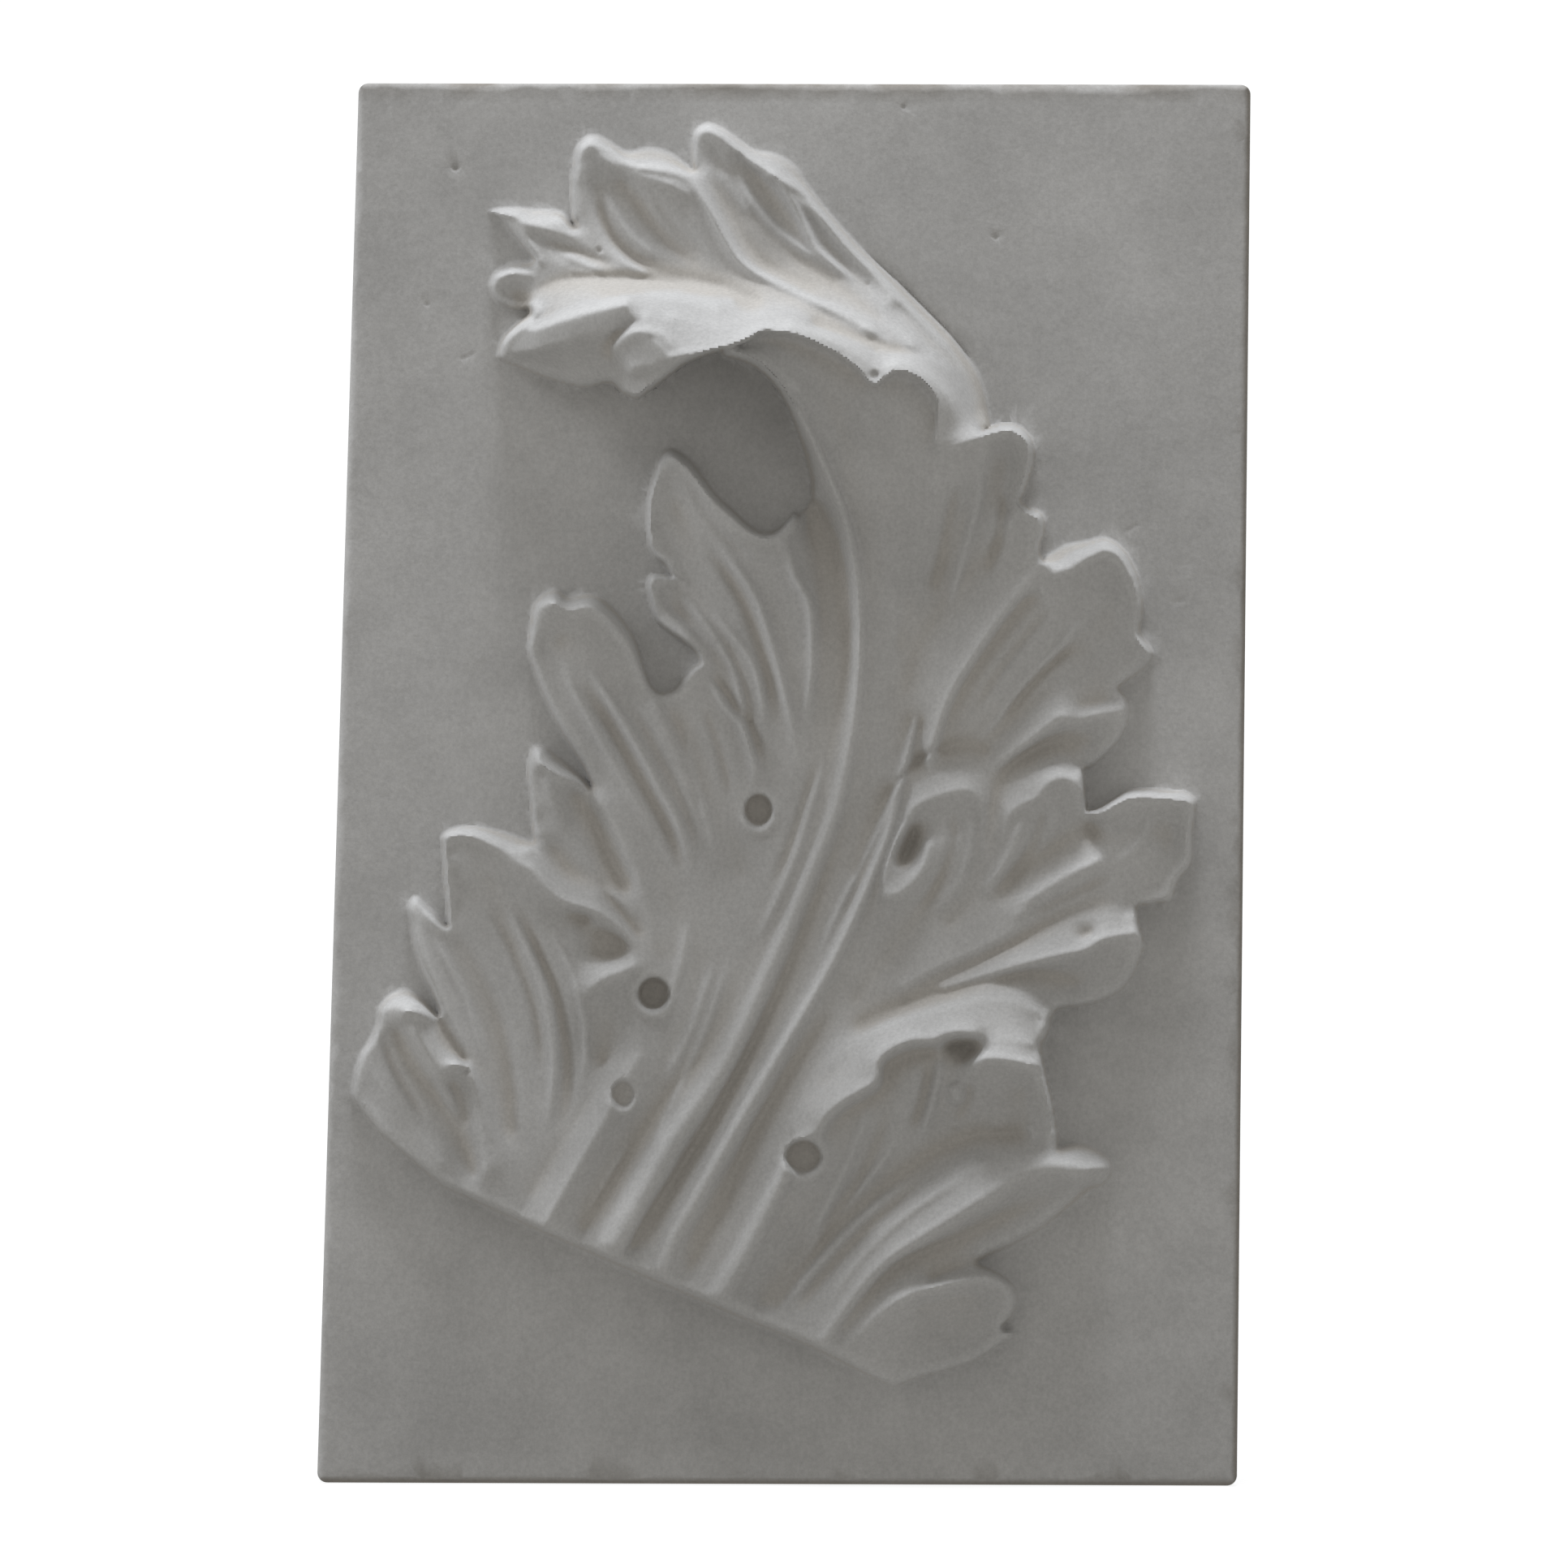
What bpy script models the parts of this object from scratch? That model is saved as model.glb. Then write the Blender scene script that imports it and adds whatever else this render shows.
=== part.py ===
"""Acanthus leaf in relief on an upright plaster slab, cast in one piece.

Metres, +Z up. The carved front faces -Y. The flat back lies in the plane y = 0, and the origin
is the middle of the back.

The leaf is drawn as a modeller would draw it: its outline, its crests and its valleys are lines
with a rise at each point, and a skin is stretched between them. The drawing is a front view of
the slab from one eye point, so the skin rises from the slab straight towards that eye.
"""

import bmesh
import bpy
import numpy as np

NODE_NAME = "acanthus_relief"

# Slab
SLAB_HEIGHT = 0.560
SLAB_WIDTH = 0.361
SLAB_THICKNESS = 0.036
SLAB_LEAN = 0.0169  # sideways shift towards +X per metre of height, the slab being out of square
CORNER_RADIUS = 0.004  # upright corners

# Relief
RELIEF_DEPTH = 0.061  # from the slab's front to the top of the rolled tip
BANK_SOFTNESS = 0.0009  # how far the chisel's corners are rounded over
CRISPNESS = 0.25  # share by which crests stand prouder than the stretched skin
CRISP_WIDTH = 0.004  # width over which they do

# Plaster
PLASTER_COLOUR = (0.40, 0.385, 0.36, 1.0)
PLASTER_ROUGHNESS = 0.92

# Fineness
CELL = 0.0022  # grid of the slab before it is thinned out
TRIANGLES = 9000
SHEET_STEP = 2.5  # grid of the drawing, in drawn units
RUN_STEPS = 6  # straight pieces between two drawn points

# Front view that the leaf is drawn in: u to the right, v down, in the view's own units
VIEW_CORNERS = ((443, 103), (1541, 105), (1524, 1831), (391.5, 1827))  # clockwise from the top left
VIEW_LEFT, VIEW_TOP, VIEW_RIGHT, VIEW_BOTTOM = 380, 80, 1560, 1860
TOP_RISE = 49.0  # drawn rise of the roll's top, which stands RELIEF_DEPTH high
# Eye of that view, in slab heights from the middle of the slab's front
EYE_RIGHT = 0.007
EYE_BACK = 2.626
EYE_UP = -0.223

# Depth of the drawing's details, in drawn units
HEM = 6.0  # width in which the skin comes down to the slab at its outline
SKIN_START = 1.0  # how far outside the outline the skin starts to rise
LINE_OVERRUN = 2.0  # how far past the outline a line inside it still counts
RIM_INSET_SHARE = 0.6  # share of its bank's width that a rim keeps from the outline
RIM_INSET_MOST = 6.0
RIM_PLAY = 1.0  # how much nearer to the outline a rim may come

# Stretching of the skin
HOLD = 12.0  # stiffness of a drawn line against the skin
FOOT_HOLD = 4.0  # how much firmer than a line the foot of a bank is held
LINE_EASING = 0.1  # share of a line at each end over which its hold fades
FLANK_EASING = 0.08  # the same for the flanks of a round back
SKIN_ROUNDS = 40  # rounds of stretching at each fineness
COARSEST_GRID = 10  # cells across the grid that the stretching starts from
BLUR_REACH = 2.5  # radii that a blur takes in

# Eyes, as shares of their radius
EYE_LIP = 1.12  # where the wall starts
EYE_WALL = 0.34  # width of the wall

# Drilled eyes between the lobes: middle u, v, half width, half height, rise of the floor
EYES = (
    (935, 1000, 17, 21, 4.5),
    (806, 1226, 19, 21, 5),
    (990, 1427, 22, 22, 9),
    (768, 1350, 14, 18, 11),
)
# Slanting cut across the foot of the stem
STEM_CUT = ((425, 1338), (470, 1396), (546, 1460), (662, 1513), (844, 1592), (1003, 1659), (1120, 1718))

# Outline of the leaf, clockwise: (u, v, rise, width of the rounded bank behind the outline)
LEAF_OUTLINE = (
    ("lowest left lobe, left spear and middle left lobe", "stands", (
        (433, 1349, 3.2, 4), (437, 1322, 3.8, 5), (444, 1300, 4.2, 5), (455, 1284, 4.6, 5),
        (464, 1262, 5.4, 5), (467, 1243, 6.4, 8), (479, 1226, 10, 18), (500, 1217, 17.6, 30),
        (520, 1225, 18, 27), (533, 1239, 14.6, 16), (541, 1251, 8.5, 3), (541, 1249, 8.5, 3),
        (532, 1224, 8, 4), (518, 1192, 8, 4), (509, 1162, 7, 3), (506, 1140, 6, 4),
        (502, 1118, 5, 4), (512, 1104, 4, 5), (526, 1114, 5.6, 8), (542, 1130, 7.6, 7),
        (552, 1141, 8, 3), (551, 1137, 8.4, 2), (550, 1112, 8.8, 2), (547, 1082, 9.2, 2),
        (545, 1050, 9.8, 2), (546, 1030, 10.6, 3), (557, 1022, 13, 6), (585, 1018, 14, 11),
        (612, 1022, 14, 18), (634, 1028, 14, 24), (648, 1033, 13, 20), (657, 1036, 11, 10),
    )),
    ("back lobe", "stands", (
        (657, 1034, 7, 2), (653, 980, 7, 2), (650, 955, 7, 2), (652, 935, 8, 3),
        (658, 919, 12, 12), (672, 918, 15, 26), (690, 930, 15, 24), (706, 944, 13.4, 18),
        (719, 957, 10.4, 9), (729, 970, 7, 2),
    )),
    ("upper left lobe", "stands", (
        (729, 969, 7, 2), (719, 948, 8, 5), (704, 924, 8.5, 6), (688, 896, 8.5, 5),
        (671, 860, 8, 4), (658, 826, 8, 3), (650, 800, 8.4, 3), (653, 775, 9.4, 4),
        (655, 758, 11, 5), (660, 741, 14, 9), (672, 730, 19, 15), (686, 725, 21, 18),
        (702, 735, 18.8, 16), (720, 731, 18, 15), (738, 733, 18, 16), (752, 743, 17.6, 16),
        (768, 761, 17.4, 15), (782, 782, 16.4, 13), (790, 804, 13.6, 9), (797, 828, 10.5, 5),
        (805, 846, 8, 3), (813, 853, 7, 2),
    )),
    ("small inner lobe", "stands", (
        (813, 853, 7, 2), (826, 851, 8, 3), (836, 843, 10, 5), (843, 832, 11, 5),
        (853, 822, 11, 5), (862, 817, 10, 3),
    )),
    ("notch under the inner lobe", "stands", (
        (862, 818, 10, 3), (858, 806, 10, 3), (842, 792, 11, 3), (822, 778, 9, 2),
        (808, 764, 8, 2), (801, 742, 8, 2), (797, 720, 8, 3), (802, 709, 8, 3), (815, 708, 8, 2),
        (828, 710, 9, 2),
    )),
    ("inner lobe", "stands", (
        (828, 710, 9, 2), (820, 698, 8, 2), (806, 685, 7.6, 2), (799, 668, 8.6, 2),
        (797, 640, 9, 2), (799, 610, 9.2, 2), (806, 585, 9.6, 2), (812, 566, 10.4, 3),
        (824, 553, 12, 8), (838, 556, 14, 10), (852, 567, 14, 9), (868, 587, 13, 9),
        (886, 611, 13, 9), (908, 631, 12, 9), (925, 647, 11.6, 8), (940, 655, 11, 7),
        (956, 652, 10, 6), (970, 640, 10, 4), (979, 631, 10, 3),
    )),
    ("gap beside the stem", "hangs", (
        (979, 631, 6), (984, 634, 3.5), (991, 628, 2.5), (997, 618, 2.2),
    )),
    ("side of the rib up to the curl", "stands", (
        (999, 614, 7, 5), (998, 596, 12, 9), (993, 573, 18, 12), (986, 546, 23, 12),
        (976, 515, 28, 11), (963, 487, 33, 10), (946, 465, 36.5, 8), (920, 448, 39.6, 6),
        (893, 439, 41.4, 4),
    )),
    ("hidden under the turned tip", "hangs", (
        (888, 434), (896, 420), (900, 396), (1000, 380), (1120, 400), (1195, 470), (1208, 505),
    )),
    ("shoulder lobe", "stands", (
        (1212, 529, 31.4, 3), (1226, 524, 31.4, 5), (1243, 522, 31.4, 5), (1262, 529, 31, 5),
        (1273, 545, 30, 3), (1274, 570, 29, 3), (1266, 597, 27, 3), (1258, 618, 25, 2),
    )),
    ("shoulder step", "stands", (
        (1258, 618, 25, 2), (1268, 625, 25, 5), (1284, 633, 24, 4), (1287, 655, 23, 3),
        (1281, 676, 22, 2), (1286, 690, 20, 4),
    )),
    ("upper right lobe", "stands", (
        (1286, 686, 17, 22), (1310, 672, 17, 30), (1340, 666, 17, 17), (1362, 662, 17, 13),
        (1383, 674, 17, 9), (1398, 697, 16.5, 7), (1406, 722, 16, 4), (1409, 750, 15, 3),
        (1406, 780, 14, 3), (1412, 790, 16, 4), (1421, 806, 13, 5), (1415, 821, 10, 7),
        (1400, 834, 8.5, 8), (1388, 842, 7.5, 5), (1380, 848, 7, 3),
    )),
    ("lower tip of the upper right lobe", "stands", (
        (1380, 849, 7, 3), (1388, 858, 9, 5), (1393, 871, 9.5, 5), (1391, 890, 9, 4),
        (1380, 912, 10, 3), (1362, 932, 9, 3), (1345, 946, 8, 2),
    )),
    ("side of the second fold", "stands", (
        (1336, 950, 14, 2), (1338, 975, 14, 3), (1340, 998, 12.4, 2),
    )),
    ("third fold", "stands", (
        (1341, 998, 13, 2), (1352, 995, 15, 5), (1370, 985, 17, 5), (1390, 973, 18, 8),
        (1410, 971, 18, 9), (1435, 973, 18, 9), (1462, 976, 17, 9), (1474, 986, 16, 5),
        (1472, 1005, 15, 3), (1469, 1030, 15, 3), (1468, 1065, 13, 3), (1455, 1082, 12, 3),
        (1449, 1095, 12, 3), (1444, 1110, 11, 3), (1425, 1114, 11, 3), (1405, 1118, 10, 2),
    )),
    ("fourth fold", "stands", (
        (1402, 1118, 12, 2), (1403, 1130, 15, 2), (1406, 1145, 16, 3), (1410, 1165, 15, 3),
        (1404, 1185, 13, 3), (1395, 1205, 12, 3), (1380, 1222, 11, 3), (1358, 1234, 10, 3),
        (1330, 1241, 10, 3), (1305, 1244, 9, 3),
    )),
    ("end of the folded band", "stands", (
        (1303, 1245, 10, 2), (1297, 1254, 14, 4), (1294, 1270, 16, 5), (1285, 1288, 15, 3),
    )),
    ("low right lobe", "stands", (
        (1284, 1286, 13, 3), (1287, 1308, 19, 4), (1291, 1330, 19, 3), (1297, 1355, 17, 3),
        (1301, 1380, 15, 3), (1304, 1400, 12, 3), (1304, 1415, 11, 2),
    )),
    ("long low lobe", "stands", (
        (1304, 1413, 12, 12), (1318, 1407, 17, 28), (1338, 1407, 18.5, 36), (1358, 1417, 17, 30),
        (1373, 1436, 11, 12), (1366, 1457, 7, 6), (1345, 1469, 6, 7), (1318, 1490, 6, 8),
        (1290, 1513, 6, 9), (1250, 1536, 6, 9), (1222, 1548, 6.5, 7), (1206, 1556, 7, 3),
    )),
    ("lowest right tip", "stands", (
        (1206, 1557, 7, 3), (1218, 1562, 10.5, 6), (1236, 1571, 11.5, 7), (1251, 1586, 10, 5),
        (1254, 1604, 8, 3), (1248, 1622, 7, 3), (1236, 1637, 6, 2), (1250, 1640, 6, 2),
        (1250, 1648, 5, 3), (1235, 1657, 5, 3), (1205, 1676, 5, 3), (1170, 1689, 5, 3),
        (1135, 1698, 5, 3), (1104, 1709, 5, 3),
    )),
    ("below the cut", "hangs", (
        (1080, 1732), (1000, 1700), (930, 1668), (860, 1636), (780, 1608), (700, 1570),
        (640, 1545), (560, 1510), (500, 1480), (452, 1425), (425, 1375),
    )),
)

# Crests, valleys and feet of the leaf: (u, v, rise)
LEAF_LINES = {
    "long low lobe band": (
        (1240, 1428, 15), (1206, 1438, 16.6), (1170, 1460, 16.6), (1130, 1486, 15.2),
        (1088, 1520, 13.4),
    ),
    "middle left lobe face left": (
        (561, 1056, 9.4), (566, 1086, 8.2),
    ),
    "left notch left": (
        (704, 1140, 11.4), (708, 1172, 11.6), (704, 1212, 11.6),
    ),
    "middle left lobe face": (
        (590, 1048, 12.4), (606, 1090, 10), (622, 1130, 9), (644, 1170, 8.8),
    ),
    "lowest right tip rim": (
        (1140, 1589, 17), (1158, 1584, 17), (1180, 1579, 16.6), (1202, 1574, 15.6),
        (1222, 1574, 14),
    ),
    "lowest right tip slit": (
        (1146, 1576, 11), (1160, 1568, 10.4), (1180, 1562, 9.6), (1200, 1559, 9),
    ),
    "first fold rim": (
        (1086, 1090, 13.6), (1092, 1066, 14.6), (1104, 1038, 14.6), (1117, 1016, 14),
    ),
    "right lower tip rim": (
        (1326, 888, 12), (1340, 883, 12.6), (1360, 878, 12.4), (1384, 874, 11),
    ),
    "right lower tip slit": (
        (1378, 861, 6.8), (1352, 866, 7.6), (1330, 870, 9),
    ),
    "ridge a foot": (
        (640, 1500, 10.8), (656, 1470, 10.8), (694, 1404, 11.4), (728, 1350, 11.6),
        (760, 1300, 11.4),
    ),
    "small inner lobe crease": (
        (819, 860, 8), (834, 890, 8), (846, 920, 8.6), (855, 950, 9.2), (862, 990, 9.8),
    ),
    "lowest left lobe pocket": (
        (557, 1334, 8.2), (567, 1354, 7.6), (576, 1382, 7.2),
    ),
    "lowest left lobe hook": (
        (544, 1324, 11), (556, 1312, 16), (574, 1313, 16.6), (585, 1330, 13.4), (591, 1365, 11.6),
        (597, 1410, 11.6), (600, 1450, 12),
    ),
    "lowest left lobe ridge": (
        (510, 1266, 14), (524, 1292, 12.6), (538, 1322, 11), (553, 1352, 9), (567, 1378, 7.4),
    ),
    "lowest left lobe crease": (
        (538, 1250, 6.4), (552, 1276, 6.6), (566, 1300, 7.4), (580, 1322, 8.6),
    ),
    "lowest right tip drop": (
        (1130, 1614, 12), (1160, 1603, 12), (1192, 1596, 11), (1220, 1594, 10), (1238, 1602, 8.6),
    ),
    "shoulder lobe rim": (
        (1156, 553, 32.8), (1174, 549, 32.8), (1192, 543, 32.4), (1210, 536, 31.4),
        (1226, 532, 30.6),
    ),
    "upper right ridge fall": (
        (1292, 742, 16.5), (1268, 738, 15.6), (1248, 756, 14.6), (1226, 784, 13.4),
        (1204, 816, 12.4), (1186, 846, 11.6), (1170, 880, 11), (1158, 915, 10.6),
        (1152, 945, 10.4),
    ),
    "lip root": (
        (892, 428, 42), (905, 408, 42), (934, 398, 41.6), (970, 396, 41), (1020, 412, 40),
        (1052, 436, 39), (1078, 450, 38.6), (1112, 442, 38.4), (1148, 462, 36), (1176, 500, 34),
    ),
    "panel top": (
        (1000, 462, 34), (1022, 500, 30), (1046, 556, 24.5),
    ),
    "rib": (
        (752, 1545, 17), (774, 1505, 17), (788, 1480, 16.4), (832, 1402, 15.2), (868, 1350, 14.2),
        (899, 1300, 13.4), (946, 1200, 12.6), (989, 1100, 12.4), (1029, 1000, 12.5),
        (1048, 920, 12.9), (1059, 850, 13.4), (1063, 790, 14.2), (1061, 730, 15.2),
        (1053, 680, 16.4), (1040, 632, 18.5), (1024, 590, 21), (1009, 556, 24.5), (992, 522, 29),
        (974, 490, 33.4), (957, 467, 36.8), (936, 450, 39.4),
    ),
    "dark valley": (
        (997, 640, 3.2), (1008, 680, 5.2), (1014, 740, 7.4), (1016, 800, 8.8), (1010, 870, 9.6),
        (998, 940, 10), (980, 1010, 10.4),
    ),
    "groove b": (
        (766, 1556, 11.5), (784, 1520, 10.2), (810, 1480, 8.6), (862, 1402, 7.8), (918, 1300, 7.6),
        (968, 1200, 7.8), (1008, 1100, 8.8), (1045, 1000, 10), (1062, 930, 11.1), (1072, 860, 12),
        (1076, 800, 12.7), (1072, 730, 13.8), (1064, 680, 15.2), (1052, 632, 17.4),
        (1036, 590, 20), (1022, 556, 23.3), (1006, 522, 27.6), (988, 490, 32.6), (971, 464, 37.5),
    ),
    "ridge c": (
        (812, 1572, 15.5), (828, 1530, 15.2), (857, 1480, 15), (902, 1401, 14.6),
        (961, 1300, 14.2), (1019, 1200, 13.8), (1062, 1110, 14.2), (1096, 1020, 13.8),
        (1116, 940, 13), (1130, 880, 12),
    ),
    "groove c": (
        (838, 1590, 11), (860, 1540, 9.8), (890, 1480, 8.2), (922, 1405, 8.2), (972, 1320, 9.4),
        (1022, 1250, 10.6),
    ),
    "ridge d": (
        (884, 1602, 15.5), (918, 1545, 15.5), (950, 1482, 15.5), (976, 1430, 16),
        (990, 1402, 16.5),
    ),
    "ridge a": (
        (672, 1512, 15), (686, 1486, 15), (708, 1446, 15), (733, 1402, 14.8), (758, 1358, 14.2),
        (789, 1300, 13.2),
    ),
    "groove a": (
        (708, 1538, 8.4), (722, 1508, 8.2), (742, 1478, 8.2), (792, 1400, 8.6), (828, 1345, 9.4),
        (865, 1300, 10), (915, 1200, 10.4), (957, 1100, 10.6), (1003, 1000, 10.4),
        (1030, 900, 9.8), (1045, 800, 9), (1041, 735, 8), (1031, 680, 6), (1014, 640, 4),
        (1003, 618, 3),
    ),
    "under lip": (
        (905, 428, 37), (930, 422, 36), (962, 422, 35.4), (992, 430, 35), (1018, 442, 34.4),
        (1042, 456, 34), (1062, 473, 34), (1076, 486, 34), (1090, 481, 34), (1108, 468, 34),
        (1126, 473, 33.4), (1141, 486, 32.8), (1147, 502, 32), (1147, 524, 31.4),
        (1149, 548, 30.6),
    ),
    "panel a": (
        (1104, 880, 10.8), (1102, 800, 12.2), (1098, 700, 15.8), (1092, 620, 21),
        (1082, 550, 27.5), (1066, 505, 33),
    ),
    "panel crease": (
        (1163, 549, 33), (1153, 595, 27.6), (1143, 640, 22.2), (1131, 690, 17), (1120, 740, 13.4),
        (1108, 800, 11),
    ),
    "panel b": (
        (1214, 550, 30.5), (1202, 600, 25), (1186, 646, 19.4), (1166, 690, 15), (1148, 724, 12.8),
    ),
    "panel c": (
        (1246, 640, 22.5), (1222, 680, 17),
    ),
    "upper right ridge": (
        (1290, 716, 17.6), (1283, 696, 21), (1268, 711, 22), (1248, 738, 21.6), (1221, 776, 20.4),
        (1198, 811, 19), (1178, 842, 17.4), (1163, 875, 16), (1152, 911, 14.4), (1144, 940, 13),
    ),
    "upper right ridge foot": (
        (1242, 666, 19.4), (1208, 692, 16), (1174, 730, 13.6), (1146, 770, 12), (1126, 810, 11.2),
        (1114, 854, 10.8),
    ),
    "upper right valley": (
        (1372, 800, 11), (1322, 802, 9.4), (1290, 824, 8.8), (1262, 852, 8.6), (1236, 882, 8.6),
        (1206, 908, 8.2),
    ),
    "upper right mid": (
        (1372, 722, 15), (1335, 760, 13.4), (1290, 788, 12), (1246, 830, 11), (1206, 875, 9.8),
    ),
    "right lower tip crest": (
        (1318, 884, 13.4), (1304, 884, 14.4), (1288, 896, 14.4), (1265, 914, 13.6),
        (1240, 932, 12), (1224, 946, 10.6),
    ),
    "right lower tip foot": (
        (1312, 840, 9.4), (1282, 858, 9), (1248, 886, 8.6), (1216, 914, 8),
    ),
    "right lower tip valley": (
        (1346, 914, 7.2), (1316, 910, 6.8), (1284, 916, 7), (1256, 932, 7.6), (1236, 950, 8),
    ),
    "first fold loop": (
        (1092, 1101, 14.6), (1104, 1103, 15.4), (1122, 1090, 15.4), (1139, 1065, 14.6),
        (1145, 1040, 13.6),
    ),
    "first fold top": (
        (1118, 1013, 13), (1129, 994, 14.4), (1150, 983, 15), (1172, 976, 15.4), (1192, 974, 15.4),
        (1204, 981, 14.8), (1209, 998, 13.4), (1210, 1025, 12.4), (1210, 1055, 11.6),
    ),
    "first fold foot": (
        (1054, 1080, 9.8), (1064, 1042, 9.4), (1084, 1000, 8.8), (1112, 956, 7.8),
        (1146, 928, 7.2), (1186, 918, 6.8), (1218, 925, 7),
    ),
    "eye slot": (
        (1128, 1020, 7), (1121, 1040, 5), (1112, 1060, 6.4),
    ),
    "first fold face": (
        (1178, 1030, 13.8), (1160, 1085, 10.8), (1126, 1135, 9.5), (1088, 1185, 9),
        (1052, 1235, 9),
    ),
    "second fold foot": (
        (1220, 1060, 11), (1221, 1020, 11.6), (1225, 985, 10.8), (1240, 948, 8.4),
        (1266, 932, 7.2), (1290, 920, 6.8), (1308, 917, 6.8), (1328, 924, 6.8),
    ),
    "second fold crest": (
        (1240, 1028, 12.8), (1244, 1005, 13.8), (1258, 992, 14.6), (1277, 983, 15),
        (1290, 968, 15.6), (1305, 960, 15.8), (1322, 964, 15.4), (1333, 976, 14.6),
    ),
    "second fold face": (
        (1304, 1000, 13.6), (1258, 1050, 11), (1216, 1092, 9.8), (1165, 1140, 8.8),
    ),
    "hollow by the third fold": (
        (1343, 1016, 7), (1348, 1030, 7),
    ),
    "third fold band foot": (
        (1330, 1024, 9), (1300, 1044, 8.4), (1264, 1070, 8.2), (1230, 1098, 8.4),
    ),
    "third fold band crest": (
        (1356, 1058, 14.4), (1322, 1084, 13.6), (1286, 1108, 12.6), (1250, 1130, 11.6),
    ),
    "third fold face": (
        (1425, 1045, 13), (1378, 1078, 12), (1338, 1099, 11.6),
    ),
    "thin ridge": (
        (1335, 1103, 11.8), (1290, 1125, 11.2), (1242, 1153, 10.8), (1195, 1176, 10.6),
        (1150, 1196, 10.4), (1108, 1218, 10.4),
    ),
    "thin groove": (
        (1385, 1110, 11.6), (1335, 1117, 11), (1290, 1138, 10), (1250, 1161, 9.2),
        (1200, 1185, 8.8), (1150, 1207, 8.8), (1105, 1230, 9.4),
    ),
    "fourth fold crest": (
        (1404, 1150, 16.8), (1380, 1153, 17), (1356, 1159, 17), (1338, 1170, 16.8),
        (1310, 1176, 16.2), (1277, 1184, 15), (1235, 1196, 13), (1205, 1207, 11.8),
        (1160, 1221, 10.6),
    ),
    "fourth fold hollow": (
        (1332, 1153, 12.4), (1346, 1148, 12.4),
    ),
    "fourth fold back": (
        (1397, 1130, 14), (1372, 1130, 13.6), (1350, 1131, 13), (1322, 1138, 12.2),
        (1292, 1150, 11.6), (1262, 1166, 11),
    ),
    "fourth fold valley": (
        (1330, 1212, 8.6), (1300, 1203, 9.4), (1266, 1198, 10), (1232, 1204, 9.8),
        (1196, 1212, 9.2), (1150, 1227, 9), (1100, 1245, 9), (1055, 1265, 10),
    ),
    "fold crest": (
        (990, 1404, 16.5), (1008, 1392, 17.5), (1016, 1377, 18.8), (1037, 1358, 20.8),
        (1062, 1343, 22.6), (1079, 1331, 22.8), (1083, 1307, 22.8), (1098, 1293, 22.8),
        (1126, 1282, 22.6), (1150, 1281, 22.4), (1163, 1275, 22.2), (1180, 1272, 22),
        (1204, 1273, 22),
    ),
    "fold mid": (
        (1010, 1340, 15), (1045, 1300, 16.4), (1090, 1268, 16.4), (1140, 1252, 16.2),
        (1200, 1236, 15.6), (1250, 1236, 15.6), (1280, 1248, 15.6),
    ),
    "low right hollow below": (
        (1018, 1406, 13), (1028, 1386, 14.5), (1048, 1368, 15), (1070, 1356, 14.6),
        (1088, 1342, 14.2), (1092, 1316, 14.2), (1106, 1305, 14.2), (1132, 1296, 14),
        (1152, 1294, 13.4),
    ),
    "low right pocket": (
        (1168, 1290, 11), (1184, 1286, 10), (1200, 1290, 10.6), (1186, 1304, 11.4),
    ),
    "low right tip crest": (
        (1190, 1328, 16.4), (1198, 1313, 20.4), (1214, 1304, 25), (1237, 1306, 27),
        (1258, 1310, 26.8), (1280, 1314, 24),
    ),
    "low right tip foot": (
        (1222, 1284, 22), (1240, 1281, 22.4), (1258, 1283, 22), (1274, 1288, 20.6),
    ),
    "low right hollow face": (
        (1062, 1400, 11.6), (1040, 1450, 10), (1004, 1515, 8.6), (960, 1590, 7.8),
    ),
    "low right tip face": (
        (1262, 1345, 15.4), (1240, 1380, 11.4), (1206, 1400, 8.6),
    ),
    "low right face foot": (
        (1140, 1398, 9.6), (1100, 1432, 8.6), (1040, 1484, 8), (985, 1548, 7.8), (936, 1612, 7.8),
    ),
    "long low lobe band foot": (
        (1258, 1398, 8.8), (1206, 1398, 8), (1150, 1420, 7.4), (1100, 1455, 7), (1046, 1501, 7),
        (1000, 1551, 7), (952, 1614, 7.4),
    ),
    "long low lobe crest": (
        (1340, 1447, 16), (1320, 1442, 18.4), (1292, 1439, 17.8), (1266, 1443, 17.8),
        (1246, 1453, 18.8), (1228, 1465, 20), (1206, 1479, 21), (1178, 1497, 20.4),
        (1135, 1524, 18.2), (1095, 1551, 16), (1052, 1598, 14), (1012, 1656, 13.2),
    ),
    "long low lobe valley": (
        (1330, 1470, 8.6), (1290, 1482, 8.4), (1236, 1500, 8.6), (1180, 1526, 9.6),
        (1136, 1542, 10.4), (1102, 1560, 10.8), (1064, 1602, 11.2), (1022, 1656, 11.4),
    ),
    "lowest right tip crest": (
        (1136, 1589, 16), (1114, 1599, 16), (1079, 1624, 13.6), (1043, 1665, 11.6),
    ),
    "inner lobe right rim": (
        (964, 662, 10), (974, 695, 10), (986, 722, 10.5), (1000, 745, 10.5), (1002, 800, 10.5),
        (1001, 850, 10.5), (991, 905, 10.5), (976, 955, 10.5), (962, 1010, 10),
    ),
    "inner lobe axis": (
        (830, 620, 7), (856, 680, 7.4), (885, 740, 8.2), (910, 800, 8.8), (932, 860, 9.2),
        (946, 920, 9.6),
    ),
    "small inner lobe axis": (
        (857, 850, 9.5), (870, 900, 9.5), (888, 950, 9.5), (905, 1010, 9.5), (912, 1080, 9.5),
    ),
    "upper left lobe right rim": (
        (806, 862, 11), (821, 900, 11.4), (838, 935, 11.4), (848, 965, 11.4), (855, 1000, 11.4),
        (864, 1050, 11.2), (871, 1110, 10.8), (869, 1190, 10.4),
    ),
    "upper left lobe axis": (
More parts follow.
